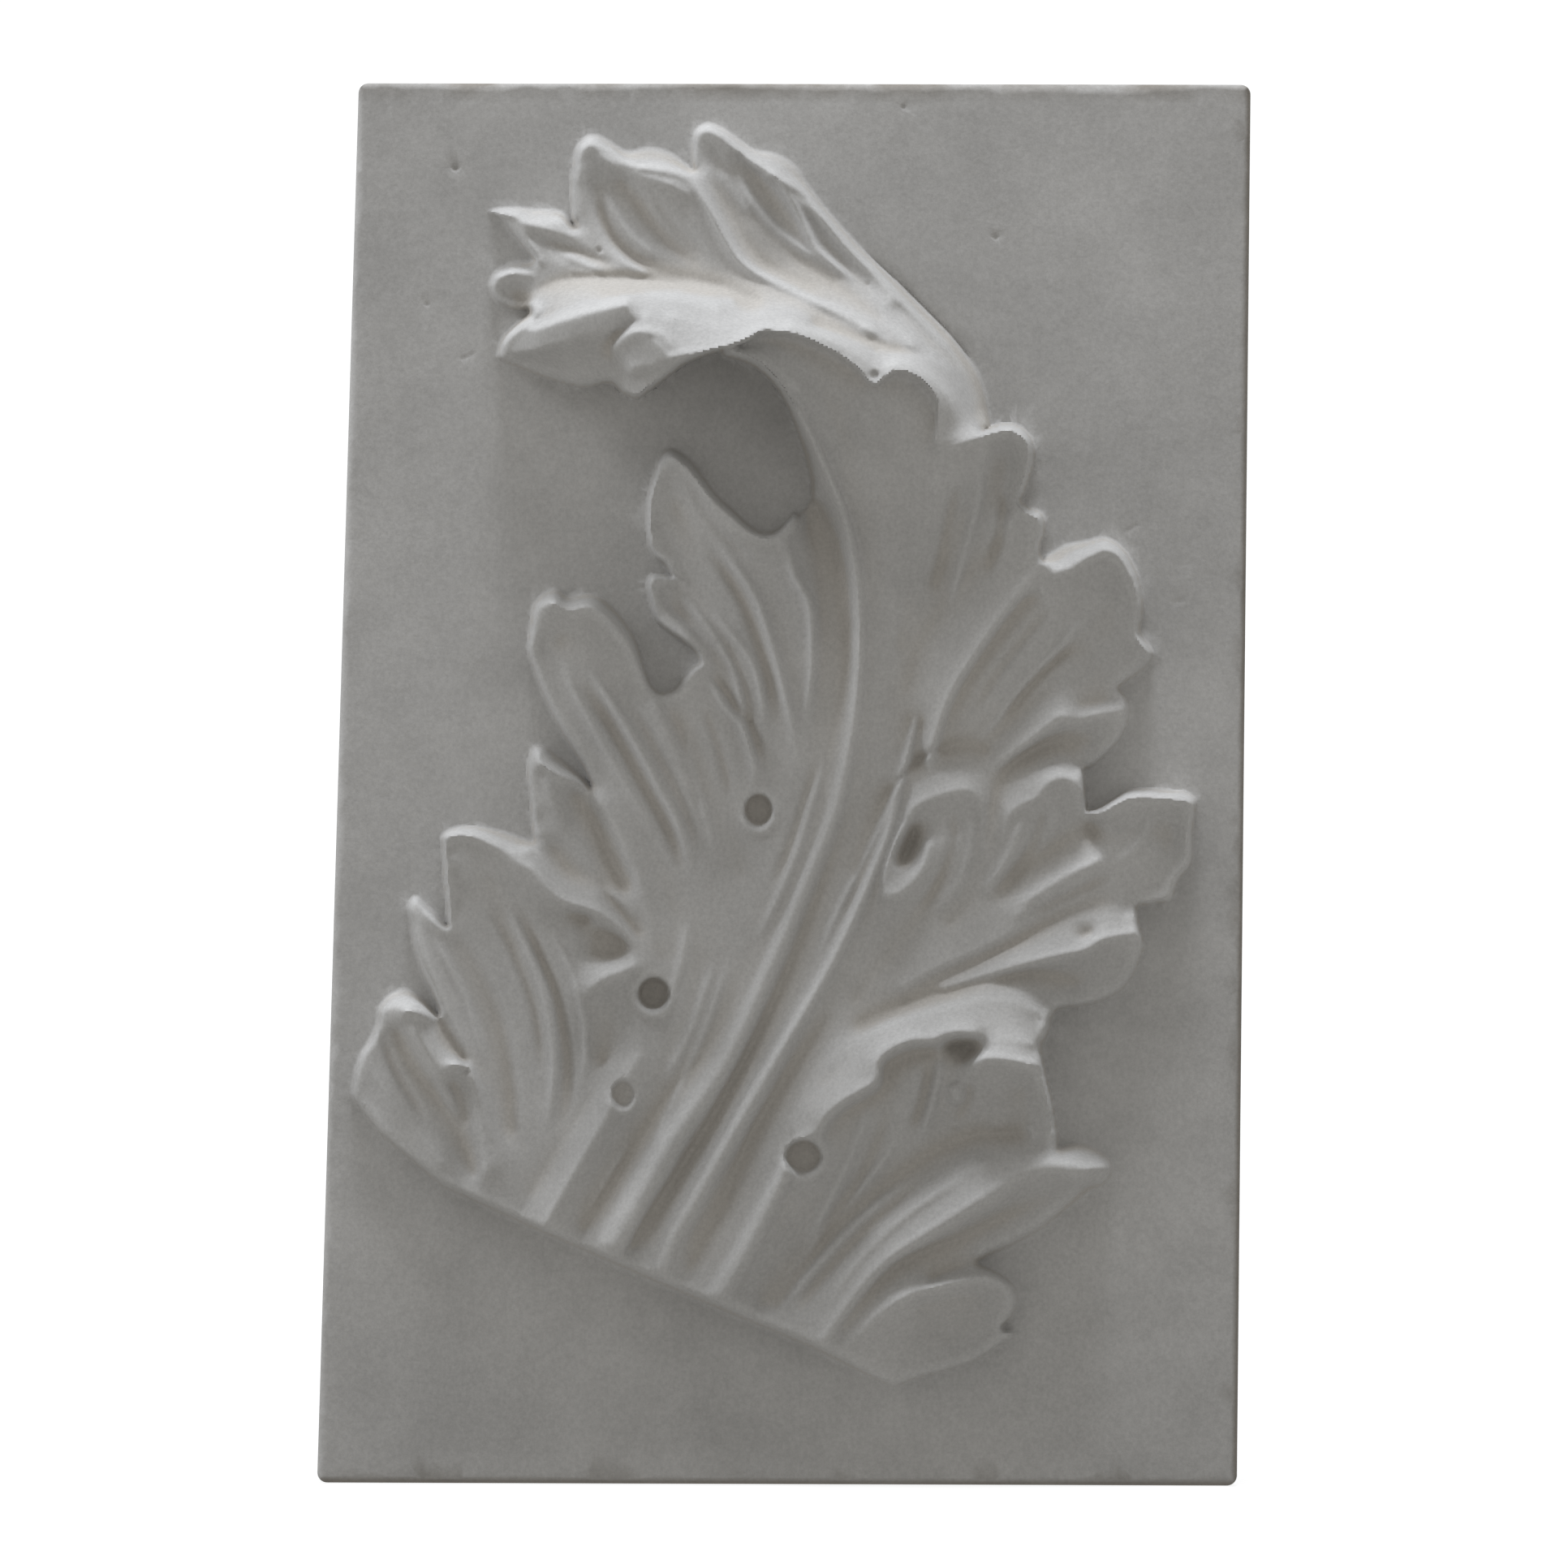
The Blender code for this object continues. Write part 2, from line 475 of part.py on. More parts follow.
        (690, 785, 10), (712, 850, 10), (741, 920, 10.4), (776, 985, 10.6), (812, 1055, 10.6),
        (834, 1130, 10.4),
    ),
    "upper left lobe left edge": (
        (736, 985, 10), (750, 1006, 11), (768, 1040, 11.6), (786, 1080, 11.6), (800, 1130, 11.2),
        (816, 1185, 10.6),
    ),
    "back lobe face": (
        (706, 975, 6.4), (730, 1010, 5.2), (752, 1055, 5.2), (772, 1095, 6),
    ),
    "back lobe left": (
        (668, 945, 9.4), (680, 985, 9.2), (700, 1030, 8.4), (730, 1076, 8.2), (764, 1120, 8.6),
        (790, 1155, 9.4),
    ),
    "middle left lobe crest": (
        (624, 1052, 13.8), (640, 1064, 15), (656, 1070, 15.6), (668, 1086, 16), (680, 1099, 16),
        (696, 1111, 16), (714, 1118, 15.8), (736, 1124, 15.2), (754, 1135, 14.2),
        (770, 1151, 13.2), (781, 1166, 12.2),
    ),
    "middle left lobe foot": (
        (664, 1022, 8.4), (684, 1048, 7.8), (702, 1072, 8.2), (730, 1090, 9.2), (758, 1106, 10),
        (784, 1132, 10.4),
    ),
    "left notch pocket": (
        (735, 1150, 8), (752, 1154, 7.3), (768, 1164, 7.3), (752, 1175, 7.5), (734, 1172, 8.2),
    ),
    "middle left lobe below": (
        (700, 1125, 12), (725, 1133, 8),
    ),
    "left notch crest": (
        (717, 1238, 12), (730, 1217, 15), (750, 1204, 16.5), (768, 1198, 16.4), (786, 1189, 15),
    ),
    "left notch face": (
        (752, 1228, 13), (750, 1268, 10.5), (742, 1310, 9),
    ),
    "left notch right": (
        (784, 1200, 12.5), (784, 1225, 11.5), (788, 1260, 12), (790, 1295, 12.5),
    ),
    "middle left lobe axis": (
        (566, 1120, 8), (584, 1156, 8.2), (602, 1190, 8.4), (620, 1228, 8.6), (632, 1265, 8.8),
        (640, 1310, 9.2), (644, 1355, 9.6), (640, 1415, 10.4),
    ),
    "left spear right": (
        (564, 1158, 7), (583, 1190, 6.8), (601, 1228, 6.6), (614, 1265, 6.6), (624, 1310, 6.8),
        (629, 1355, 7.2), (630, 1400, 8.6),
    ),
    "left spear face": (
        (527, 1184, 7.4), (538, 1214, 7.8), (553, 1250, 8.2), (573, 1290, 9), (593, 1340, 10),
        (606, 1392, 11), (612, 1440, 12),
    ),
    "lowest left lobe axis": (
        (486, 1268, 5.8), (497, 1290, 5.2), (514, 1322, 5), (536, 1350, 5.2), (558, 1384, 6.2),
        (574, 1412, 6.8), (586, 1450, 8),
    ),
    "lowest left foot": (
        (450, 1308, 4.2), (478, 1346, 6), (513, 1392, 7.6), (550, 1436, 9.6),
    ),
}

# Leaf crests with a round back: half width at the start, at the end, and how far the back falls
LEAF_ROUNDED = {
    "rib": (15, 4, 1.8),
    "ridge c": (15, 6, 2.4),
    "ridge d": (20, 10, 2.6),
    "fourth fold crest": (4, 6, 0.8),
    "long low lobe crest": (8, 8, 0.9),
    "right lower tip crest": (5, 5, 0.7),
    "first fold top": (5, 5, 0.7),
    "second fold crest": (5, 5, 0.7),
    "fold crest": (4, 4, 0.5),
    "upper right ridge": (5, 5, 0.6),
    "left notch crest": (4, 4, 0.5),
}

# Outline of the turned tip, which lies over the leaf's top
TIP_OUTLINE = (
    ("lowest bud", "stands", (
        (612, 440, 9, 7), (618, 418, 14, 9), (636, 398, 20, 10), (652, 383, 18, 8),
        (650, 381, 7, 3),
    )),
    ("small left bud", "stands", (
        (652, 383, 7, 3), (640, 384, 5, 5), (616, 376, 4.4, 5), (603, 354, 5, 5),
        (611, 334, 6.4, 11), (634, 323, 8, 16), (658, 322, 7.4, 10),
    )),
    ("left tip lobe", "stands", (
        (658, 322, 7, 4), (648, 310, 6, 3), (632, 290, 5, 3), (612, 268, 3, 3), (600, 262, 2, 3),
        (620, 256, 5, 12), (660, 257, 7.4, 17), (697, 261, 8, 17), (708, 277, 8, 10),
    )),
    ("middle tip lobe", "stands", (
        (705, 276, 8, 3), (703, 240, 7, 3), (706, 205, 7, 4), (712, 180, 8, 6), (724, 167, 8, 10),
        (738, 166, 8, 15), (756, 176, 8.8, 20), (775, 186, 9, 22), (796, 181, 9.8, 30),
        (820, 184, 10.8, 32), (840, 195, 11, 26), (854, 208, 10, 12),
    )),
    ("right tip lobe", "stands", (
        (853, 206, 6, 3), (852, 184, 5, 4), (858, 160, 6, 5), (872, 152, 7, 8), (892, 158, 8, 10),
        (912, 172, 8, 12), (930, 184, 8.4, 17), (955, 188, 8.4, 32), (982, 203, 8.4, 28),
        (1003, 236, 7.8, 18), (1024, 263, 7, 10), (1048, 290, 7, 11), (1082, 322, 7, 12),
        (1114, 350, 7, 14), (1142, 378, 7, 15), (1168, 404, 7, 15), (1190, 430, 7, 15),
        (1206, 456, 8, 14), (1214, 480, 9, 12), (1219, 505, 10, 9), (1222, 528, 14, 3),
    )),
    ("lip", "hangs", (
        (1205, 535, 30), (1186, 543, 32), (1152, 549, 34), (1152, 522, 36), (1153, 498, 37),
        (1143, 479, 38), (1127, 465, 39), (1106, 459, 40), (1094, 466, 40), (1082, 476, 40),
        (1069, 473, 40), (1058, 459, 41), (1040, 444, 41), (1015, 430, 42), (990, 418, 43),
        (960, 411, 44), (936, 411, 45), (926, 419, 46), (900, 429, 46.5), (870, 438, 46.5),
        (845, 448, 45), (825, 463, 40), (805, 478, 36), (786, 490, 31), (768, 484, 28),
        (754, 472, 22), (722, 477, 16), (690, 471, 12), (660, 461, 9), (632, 450, 6),
    )),
)

# Crests, valleys and feet of the turned tip: (u, v, rise)
TIP_LINES = {
    "middle tip lobe shelf": (
        (772, 210, 9.2), (800, 220, 11.6), (826, 228, 12.6), (848, 240, 12),
    ),
    "right tip lobe shelf": (
        (950, 212, 9.8), (974, 236, 9.2), (998, 262, 8.6), (1018, 292, 8.4), (1042, 320, 8.8),
        (1068, 345, 10.4), (1104, 376, 13.6),
    ),
    "small left bud cap": (
        (612, 344, 7), (632, 337, 9), (655, 338, 9),
    ),
    "left tip lobe lower ridge": (
        (664, 313, 8.8), (700, 330, 10.4), (745, 346, 13),
    ),
    "right tip lobe valley": (
        (878, 184, 5.6), (898, 215, 5.8), (920, 252, 6), (948, 290, 7), (982, 320, 8.8),
        (1028, 350, 12), (1082, 390, 18), (1130, 430, 25),
    ),
    "right tip lobe dark": (
        (908, 188, 4.8), (934, 217, 4.8), (958, 254, 5.4), (980, 284, 7),
    ),
    "middle tip lobe crest": (
        (846, 214, 9.8), (856, 228, 10.4), (868, 246, 11), (880, 268, 11.2), (893, 293, 11.4),
        (909, 318, 12), (925, 332, 12.8), (946, 344, 14.2), (975, 358, 17), (1004, 372, 20.4),
        (1040, 390, 23.8), (1080, 412, 27),
    ),
    "middle tip lobe crest foot": (
        (870, 210, 7.4), (890, 244, 7.4), (906, 272, 7.6), (924, 302, 8.2), (942, 324, 9.4),
        (975, 340, 12), (1010, 356, 14.6),
    ),
    "middle tip lobe valley": (
        (733, 226, 6), (742, 262, 6), (757, 295, 6.8), (783, 322, 8), (818, 338, 9.4),
        (850, 345, 11), (880, 352, 13.4), (905, 361, 16.6), (935, 373, 21),
    ),
    "middle tip lobe mid": (
        (764, 222, 6), (790, 262, 6.6), (822, 300, 7.8), (862, 330, 10.4),
    ),
    "middle tip lobe left rim": (
        (716, 205, 8), (717, 235, 7.6), (724, 265, 7.6), (739, 294, 8.4), (763, 318, 10),
        (800, 337, 12),
    ),
    "left tip lobe crest": (
        (612, 262, 5), (632, 267, 7.4), (652, 275, 9), (672, 282, 9.8), (700, 289, 9.4),
        (714, 292, 8.4),
    ),
    "left tip lobe valley": (
        (652, 290, 7.4), (672, 298, 7.8), (700, 307, 8.4), (730, 318, 9.4), (763, 332, 11.5),
    ),
    "left tip lobe left ridge": (
        (641, 280, 7.5), (654, 303, 9), (664, 326, 10.5),
    ),
    "small left bud face": (
        (618, 356, 4), (634, 364, 3.6), (650, 372, 4.2),
    ),
    "roll foot": (
        (658, 360, 9), (676, 352, 10), (694, 346, 10.6), (720, 343, 11), (756, 344, 11),
        (800, 346, 11), (839, 350, 12.4), (870, 358, 17), (905, 371, 25),
    ),
    "roll shoulder": (
        (655, 398, 16), (690, 382, 23), (720, 372, 25.6), (760, 366, 26), (800, 365, 26),
        (850, 370, 28), (890, 380, 32.4),
    ),
    "roll top": (
        (630, 424, 13), (660, 420, 25), (680, 413, 30), (700, 406, 34), (720, 400, 36.4),
        (740, 395, 38.6), (760, 390, 40.2), (780, 385, 41.6),
    ),
    "roll belly": (
        (636, 440, 9.5), (670, 437, 21), (705, 432, 29), (738, 425, 33),
    ),
    "roll under": (
        (662, 449, 13.5), (695, 455, 19), (725, 458, 23), (742, 456, 25.5),
    ),
    "nose crease": (
        (798, 390, 42.2), (780, 397, 40), (764, 410, 36.5), (753, 428, 32.5), (748, 450, 27.5),
    ),
    "nose top": (
        (752, 432, 35), (764, 420, 40.5), (780, 410, 44.6), (800, 410, 46.6), (814, 423, 48.2),
        (826, 442, 49), (850, 438, 49), (880, 430, 48.6), (905, 424, 48), (925, 415, 47),
    ),
    "nose front": (
        (778, 454, 38.5), (797, 450, 42.5), (812, 450, 45),
    ),
    "nose under": (
        (780, 474, 32), (797, 468, 36.5), (816, 458, 41),
    ),
    "nose lap": (
        (822, 390, 39.6), (846, 396, 39.8), (874, 403, 41.2), (905, 409, 42.8),
    ),
    "lip slope": (
        (970, 402, 41), (1010, 414, 39.4), (1050, 434, 38.4), (1084, 456, 38.4), (1106, 448, 37),
        (1142, 464, 35.4), (1170, 492, 32.8), (1178, 528, 31.2),
    ),
    "lip slope behind": (
        (1000, 398, 29), (1045, 412, 28), (1095, 428, 26), (1150, 444, 23.4), (1178, 475, 20.6),
        (1198, 510, 19),
    ),
}

# Tip crests with a round back
TIP_ROUNDED = {
    "roll top": (12, 14, 0.5),
}


def ease(x):
    """Smooth step from 0 to 1."""
    x = np.clip(x, 0.0, 1.0)
    return x * x * (3.0 - 2.0 * x)


def smooth_run(points):
    """Curve through the points: u and v turn smoothly, the other columns run straight."""
    points = np.array(points, float)
    ends = np.vstack([2 * points[0] - points[1], points, 2 * points[-1] - points[-2]])
    pieces = []
    t = np.linspace(0, 1, RUN_STEPS, endpoint=False)[:, None]
    for before, start, stop, after in zip(ends[:-3], ends[1:-2], ends[2:-1], ends[3:]):
        span = max(np.hypot(*(stop - start)[:2]), 1e-6)
        span_before = max(np.hypot(*(start - before)[:2]), 1e-6)
        span_after = max(np.hypot(*(after - stop)[:2]), 1e-6)
        leave = ((start - before) / span_before * span + stop - start) / 2
        arrive = (stop - start + (after - stop) / span_after * span) / 2
        piece = (2 * t**3 - 3 * t**2 + 1) * start + (t**3 - 2 * t**2 + t) * leave
        piece += (3 * t**2 - 2 * t**3) * stop + (t**3 - t**2) * arrive
        piece[:, 2:] = (start + (stop - start) * t)[:, 2:]
        pieces.append(piece)
    return np.vstack(pieces + [points[-1:]])


def sideways(run):
    """Unit vectors to the right of a run, seen along it with v down."""
    ahead = np.gradient(run[:, :2], axis=0)
    right = np.stack([-ahead[:, 1], ahead[:, 0]], axis=1)
    return right / np.maximum(np.linalg.norm(right, axis=1, keepdims=True), 1e-9)


class Sheet:
    """The drawing as a grid: what pulls each cell and how firmly it is held."""

    def __init__(self):
        self.us = np.arange(VIEW_LEFT, VIEW_RIGHT, SHEET_STEP)
        self.vs = np.arange(VIEW_TOP, VIEW_BOTTOM, SHEET_STEP)
        self.u, self.v = np.meshgrid(self.us, self.vs)
        self.pull = np.zeros(self.u.shape)
        self.hold = np.zeros(self.u.shape)

    def cells(self, u, v):
        """Row and column of the cells that hold the points."""
        rows = np.round((v - self.vs[0]) / SHEET_STEP).astype(int)
        columns = np.round((u - self.us[0]) / SHEET_STEP).astype(int)
        return np.clip(rows, 0, len(self.vs) - 1), np.clip(columns, 0, len(self.us) - 1)

    def pin(self, run, easing=0.0, strength=1.0, within=None):
        """Pins the skin along a run; the hold eases off towards both ends."""
        lengths = np.hypot(*np.diff(run[:, :2], axis=0).T)
        marks = np.concatenate([[0], np.cumsum(lengths)])
        along = np.linspace(0, marks[-1], max(2, int(marks[-1] / (SHEET_STEP * 0.5))))
        u, v, rise = (np.interp(along, marks, run[:, column]) for column in range(3))
        weight = np.full(len(along), strength)
        if easing:
            share = along / marks[-1]
            weight *= ease(share / easing) * ease((1 - share) / easing)
        rows, columns = self.cells(u, v)
        if within is not None:
            weight *= within[rows, columns]
        np.add.at(self.pull, (rows, columns), weight * rise)
        np.add.at(self.hold, (rows, columns), weight)


def depth_inside(sheet, outline):
    """Distance of every cell to the outline, positive inside it."""
    reach = max(HEM, RIM_INSET_MOST, LINE_OVERRUN) + SKIN_START  # no deeper place is asked for
    distance = np.full(sheet.u.shape, reach)
    inside = np.zeros(sheet.u.shape, bool)
    for start, stop in zip(outline, np.roll(outline, -1, axis=0)):
        low, high = min(start[1], stop[1]), max(start[1], stop[1])
        first, last = np.searchsorted(sheet.vs, [low, high])
        if last > first:
            share = (sheet.vs[first:last] - start[1]) / (stop[1] - start[1])
            crossing = start[0] + share * (stop[0] - start[0])
            inside[first:last] ^= sheet.us[None, :] < crossing[:, None]
        left, right = np.searchsorted(
            sheet.us, [min(start[0], stop[0]) - reach, max(start[0], stop[0]) + reach]
        )
        top, bottom = np.searchsorted(sheet.vs, [low - reach, high + reach])
        near = (slice(top, bottom), slice(left, right))
        ahead = stop - start
        du, dv = sheet.u[near] - start[0], sheet.v[near] - start[1]
        share = np.clip((du * ahead[0] + dv * ahead[1]) / max(ahead @ ahead, 1e-9), 0, 1)
        gap = np.hypot(du - share * ahead[0], dv - share * ahead[1])
        distance[near] = np.minimum(distance[near], gap)
    return np.where(inside, distance, -distance)


def shrink(grid):
    """Sums each two by two cells into one."""
    rows, columns = grid.shape
    grid = np.pad(grid, ((0, rows % 2), (0, columns % 2)))
    return grid[0::2, 0::2] + grid[1::2, 0::2] + grid[0::2, 1::2] + grid[1::2, 1::2]


def stretch(pull, hold):
    """Skin stretched between the pinned cells, from coarse to fine."""
    pinned = pull / np.maximum(hold, 1e-9)
    firmness = np.minimum(hold, 1.0) * HOLD
    if min(pull.shape) > COARSEST_GRID:
        coarse = stretch(shrink(pull), shrink(hold))
        skin = np.repeat(np.repeat(coarse, 2, 0), 2, 1)[:pull.shape[0], :pull.shape[1]]
    else:
        skin = np.full(pull.shape, pull.sum() / max(hold.sum(), 1e-9))
    for _ in range(SKIN_ROUNDS):
        edged = np.pad(skin, 1, mode="edge")
        around = edged[:-2, 1:-1] + edged[2:, 1:-1] + edged[1:-1, :-2] + edged[1:-1, 2:]
        skin = (around / 4 + firmness * pinned) / (1 + firmness)
    return skin


def soften(grid, radius):
    """Gaussian blur over a radius in metres on the slab."""
    cells = radius / (SLAB_HEIGHT / (VIEW_CORNERS[3][1] - VIEW_CORNERS[0][1])) / SHEET_STEP
    reach = int(np.ceil(cells * BLUR_REACH))
    weights = np.exp(-0.5 * (np.arange(-reach, reach + 1) / cells) ** 2)
    weights /= weights.sum()
    rows, columns = grid.shape
    padded = np.pad(grid, ((reach, reach), (0, 0)), mode="edge")
    grid = sum(weight * padded[k:k + rows] for k, weight in enumerate(weights))
    padded = np.pad(grid, ((0, 0), (reach, reach)), mode="edge")
    return sum(weight * padded[:, k:k + columns] for k, weight in enumerate(weights))


def pin_standing_edge(sheet, run, depth):
    """A rounded bank: its foot lies on the slab and its rim stands behind the outline."""
    rim = run[:, :3].copy()
    rim[:, :2] += sideways(run) * run[:, 3:4]
    rows, columns = sheet.cells(rim[:, 0], rim[:, 1])
    inset = np.minimum(run[:, 3] * RIM_INSET_SHARE, RIM_INSET_MOST)
    clear = depth[rows, columns] > inset - RIM_PLAY
    for k in range(len(rim) - 1):
        if clear[k] and clear[k + 1]:
            sheet.pin(rim[k:k + 2])
    foot = run[:, :3].copy()
    foot[:, 2] = 0
    sheet.pin(foot, strength=FOOT_HOLD)


def pin_round_back(sheet, run, back, within):
    """Lowers the skin on both sides of a crest, so that its back is round."""
    start, stop, fall = back
    half = np.linspace(start, stop, len(run))[:, None]
    for side in (-1.0, -0.5, 0.5, 1.0):
        flank = run.copy()
        flank[:, :2] += sideways(run) * half * side
        flank[:, 2] -= fall * side * side
        sheet.pin(flank, easing=FLANK_EASING, within=within)


def carve(outline, lines, rounded, eyes=()):
    """Skin over one drawn form, and how deep inside its outline each cell lies."""
    sheet = Sheet()
    runs = [(kind, smooth_run(points)) for _, kind, points in outline]
    depth = depth_inside(sheet, np.vstack([run[:, :2] for _, run in runs]))
    within = depth > -LINE_OVERRUN
    for kind, run in runs:
        if kind == "stands":
            pin_standing_edge(sheet, run, depth)
        elif run.shape[1] > 2:
            sheet.pin(run)
    for name, points in lines.items():
        run = smooth_run(points)
        if name in rounded:
            pin_round_back(sheet, run, rounded[name], within)
        sheet.pin(run, easing=LINE_EASING, within=within)
    skin = stretch(sheet.pull, sheet.hold)
    fine = soften(skin, BANK_SOFTNESS)
    skin = fine + CRISPNESS * (fine - soften(skin, CRISP_WIDTH))
    for u, v, half_width, half_height, floor in eyes:
        away = np.hypot((sheet.u - u) / half_width, (sheet.v - v) / half_height)
        skin += (np.minimum(skin, floor) - skin) * ease((EYE_LIP - away) / EYE_WALL)
    return sheet, skin, depth


def drawn_rise():
    """The whole relief as a grid over the drawing, in metres."""
    sheet, skin, depth = carve(LEAF_OUTLINE, LEAF_LINES, LEAF_ROUNDED, EYES)
    relief = np.maximum(skin, 0) * ease((depth + SKIN_START) / HEM)
    cut = np.array(STEM_CUT, float)
    above_cut = np.interp(sheet.u, cut[:, 0], cut[:, 1]) - sheet.v
    relief *= ease((above_cut + HEM) / (2 * HEM))
    sheet, skin, depth = carve(TIP_OUTLINE, TIP_LINES, TIP_ROUNDED)
    relief += (skin - relief) * ease((depth + SKIN_START) / HEM)
    return sheet, relief * RELIEF_DEPTH / TOP_RISE


def view_of_front():
    """Projective map from a place on the slab's front to the drawing."""
    half_width, half_height = SLAB_WIDTH / 2, SLAB_HEIGHT / 2
    rows, wanted = [], []
    for (right, up), (u, v) in zip(((-1, 1), (1, 1), (1, -1), (-1, -1)), VIEW_CORNERS):
        z = up * half_height
        x = right * half_width + SLAB_LEAN * z
        rows.append([x, z, 1, 0, 0, 0, -u * x, -u * z])
        rows.append([0, 0, 0, x, z, 1, -v * x, -v * z])
        wanted += [u, v]
    return np.append(np.linalg.solve(np.array(rows), np.array(wanted)), 1.0).reshape(3, 3)


def rise_at(sheet, relief, x, z):
    """Rise of the relief over places on the slab's front."""
    seen = view_of_front() @ np.stack([x, z, np.ones(len(x))])
    column = np.clip((seen[0] / seen[2] - sheet.us[0]) / SHEET_STEP, 0, len(sheet.us) - 1.001)
    row = np.clip((seen[1] / seen[2] - sheet.vs[0]) / SHEET_STEP, 0, len(sheet.vs) - 1.001)
    j, i = column.astype(int), row.astype(int)
    across, down = column - j, row - i
    upper = relief[i, j] * (1 - across) + relief[i, j + 1] * across
    lower = relief[i + 1, j] * (1 - across) + relief[i + 1, j + 1] * across
    return upper * (1 - down) + lower * down


def round_corners(x, z):
    """Draws the grid's square corners in to round ones."""
    over_x = np.maximum(np.abs(x) - (SLAB_WIDTH / 2 - CORNER_RADIUS), 0)
    over_z = np.maximum(np.abs(z) - (SLAB_HEIGHT / 2 - CORNER_RADIUS), 0)
    corner = (over_x > 0) & (over_z > 0)
    reach = np.maximum(np.hypot(over_x, over_z), 1e-9)
    draw = np.where(corner, 1 - np.maximum(over_x, over_z) / reach, 0)
    return x - np.sign(x) * over_x * draw, z - np.sign(z) * over_z * draw


def plain_slab():
    """The slab before carving: a fine grid, given its thickness towards the back."""
    grid = bmesh.new()
    columns, rows = round(SLAB_WIDTH / CELL), round(SLAB_HEIGHT / CELL)
    bmesh.ops.create_grid(grid, x_segments=columns, y_segments=rows, size=1.0)
    shares = np.array([vertex.co for vertex in grid.verts])
    x, z = round_corners(shares[:, 0] * SLAB_WIDTH / 2, shares[:, 1] * SLAB_HEIGHT / 2)
    for vertex, across, up in zip(grid.verts, x + SLAB_LEAN * z, z):
        vertex.co = (across, -SLAB_THICKNESS, up)
    mesh = bpy.data.meshes.new(NODE_NAME)
    grid.to_mesh(mesh)
    grid.free()
    slab = bpy.data.objects.new(NODE_NAME, mesh)
    bpy.context.collection.objects.link(slab)
    thicken = slab.modifiers.new("Thickness", "SOLIDIFY")
    thicken.thickness = SLAB_THICKNESS
    solid = slab.evaluated_get(bpy.context.evaluated_depsgraph_get())
    slab.data = bpy.data.meshes.new_from_object(solid)
    slab.modifiers.clear()
    return slab


def model_relief():
    """Carves the leaf into the slab's front and thins out the grid."""
    slab = plain_slab()
    places = np.empty(len(slab.data.vertices) * 3)
    slab.data.vertices.foreach_get("co", places)
    x, y, z = places.reshape(-1, 3).T
    sheet, relief = drawn_rise()
    rise = np.where(y < -SLAB_THICKNESS / 2, rise_at(sheet, relief, x, z), 0)
    towards_eye = rise / (EYE_BACK * SLAB_HEIGHT)
    x += (EYE_RIGHT * SLAB_HEIGHT - x) * towards_eye
    z += (EYE_UP * SLAB_HEIGHT - z) * towards_eye
    y -= rise
    slab.data.vertices.foreach_set("co", np.stack([x, y, z], axis=1).ravel())
    thin_out = slab.modifiers.new("Thin out", "DECIMATE")
    thin_out.ratio = TRIANGLES / sum(len(face.vertices) - 2 for face in slab.data.polygons)
    return slab


def plaster():
    """Dry, matt, warm grey plaster."""
    material = bpy.data.materials.new("plaster")
    material.use_nodes = True
    shader = material.node_tree.nodes["Principled BSDF"]
    shader.inputs["Base Color"].default_value = PLASTER_COLOUR
    shader.inputs["Roughness"].default_value = PLASTER_ROUGHNESS
    material.diffuse_color = PLASTER_COLOUR
    return material


def main():
    for thing in list(bpy.data.objects):
        bpy.data.objects.remove(thing, do_unlink=True)
    relief_object = model_relief()
    relief_object.data.materials.append(plaster())


main()
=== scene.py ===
import bmesh
import bpy
import numpy as np
from bpy.props import FloatProperty, PointerProperty, StringProperty
from mathutils import Matrix, Vector


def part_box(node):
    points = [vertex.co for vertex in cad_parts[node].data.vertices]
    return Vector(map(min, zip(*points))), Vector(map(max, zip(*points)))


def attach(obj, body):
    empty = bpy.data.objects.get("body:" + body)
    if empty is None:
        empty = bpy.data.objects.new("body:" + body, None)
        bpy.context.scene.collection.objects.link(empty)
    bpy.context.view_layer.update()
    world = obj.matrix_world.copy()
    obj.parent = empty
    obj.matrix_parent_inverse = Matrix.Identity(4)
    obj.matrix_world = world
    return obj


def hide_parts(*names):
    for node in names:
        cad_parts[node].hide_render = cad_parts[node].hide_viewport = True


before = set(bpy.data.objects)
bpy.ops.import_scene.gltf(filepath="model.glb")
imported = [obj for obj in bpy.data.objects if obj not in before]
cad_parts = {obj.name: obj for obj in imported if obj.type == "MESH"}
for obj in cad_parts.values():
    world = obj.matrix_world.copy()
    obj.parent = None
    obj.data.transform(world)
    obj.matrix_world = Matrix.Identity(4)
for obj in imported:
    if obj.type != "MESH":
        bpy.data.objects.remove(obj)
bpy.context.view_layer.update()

bl_info = {
    "name": "Acanthus relief in plaster",
    "version": (1, 0, 0),
    "blender": (4, 5, 0),
    "location": "3D View > Sidebar > Relief",
    "description": "Carves, finishes and lights a plaster slab with an acanthus leaf in relief",
    "category": "Object",
}

CAST = "acanthus_relief"
LOWEST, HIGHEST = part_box(CAST)
SLAB_HEIGHT = HIGHEST.z - LOWEST.z

# Slab, as in the part's source
SLAB_WIDTH = 0.361
SLAB_THICKNESS = 0.036
SLAB_LEAN = 0.0169  # sideways shift towards +X per metre of height, the slab being out of square
CORNER_RADIUS = 0.004  # upright corners
RELIEF_DEPTH = -LOWEST.y - SLAB_THICKNESS

# Fineness of the skin
SHEET_STEP = 1.5  # grid of the drawing, in drawn units
CELL = 0.00088  # grid of the slab before it is thinned out
TRIANGLES = 186000
RUN_STEPS = 8  # straight pieces between two drawn points
PIN_SPACING = 0.5  # cells between two pins along a line
TINY = 1e-9  # keeps divisions away from zero

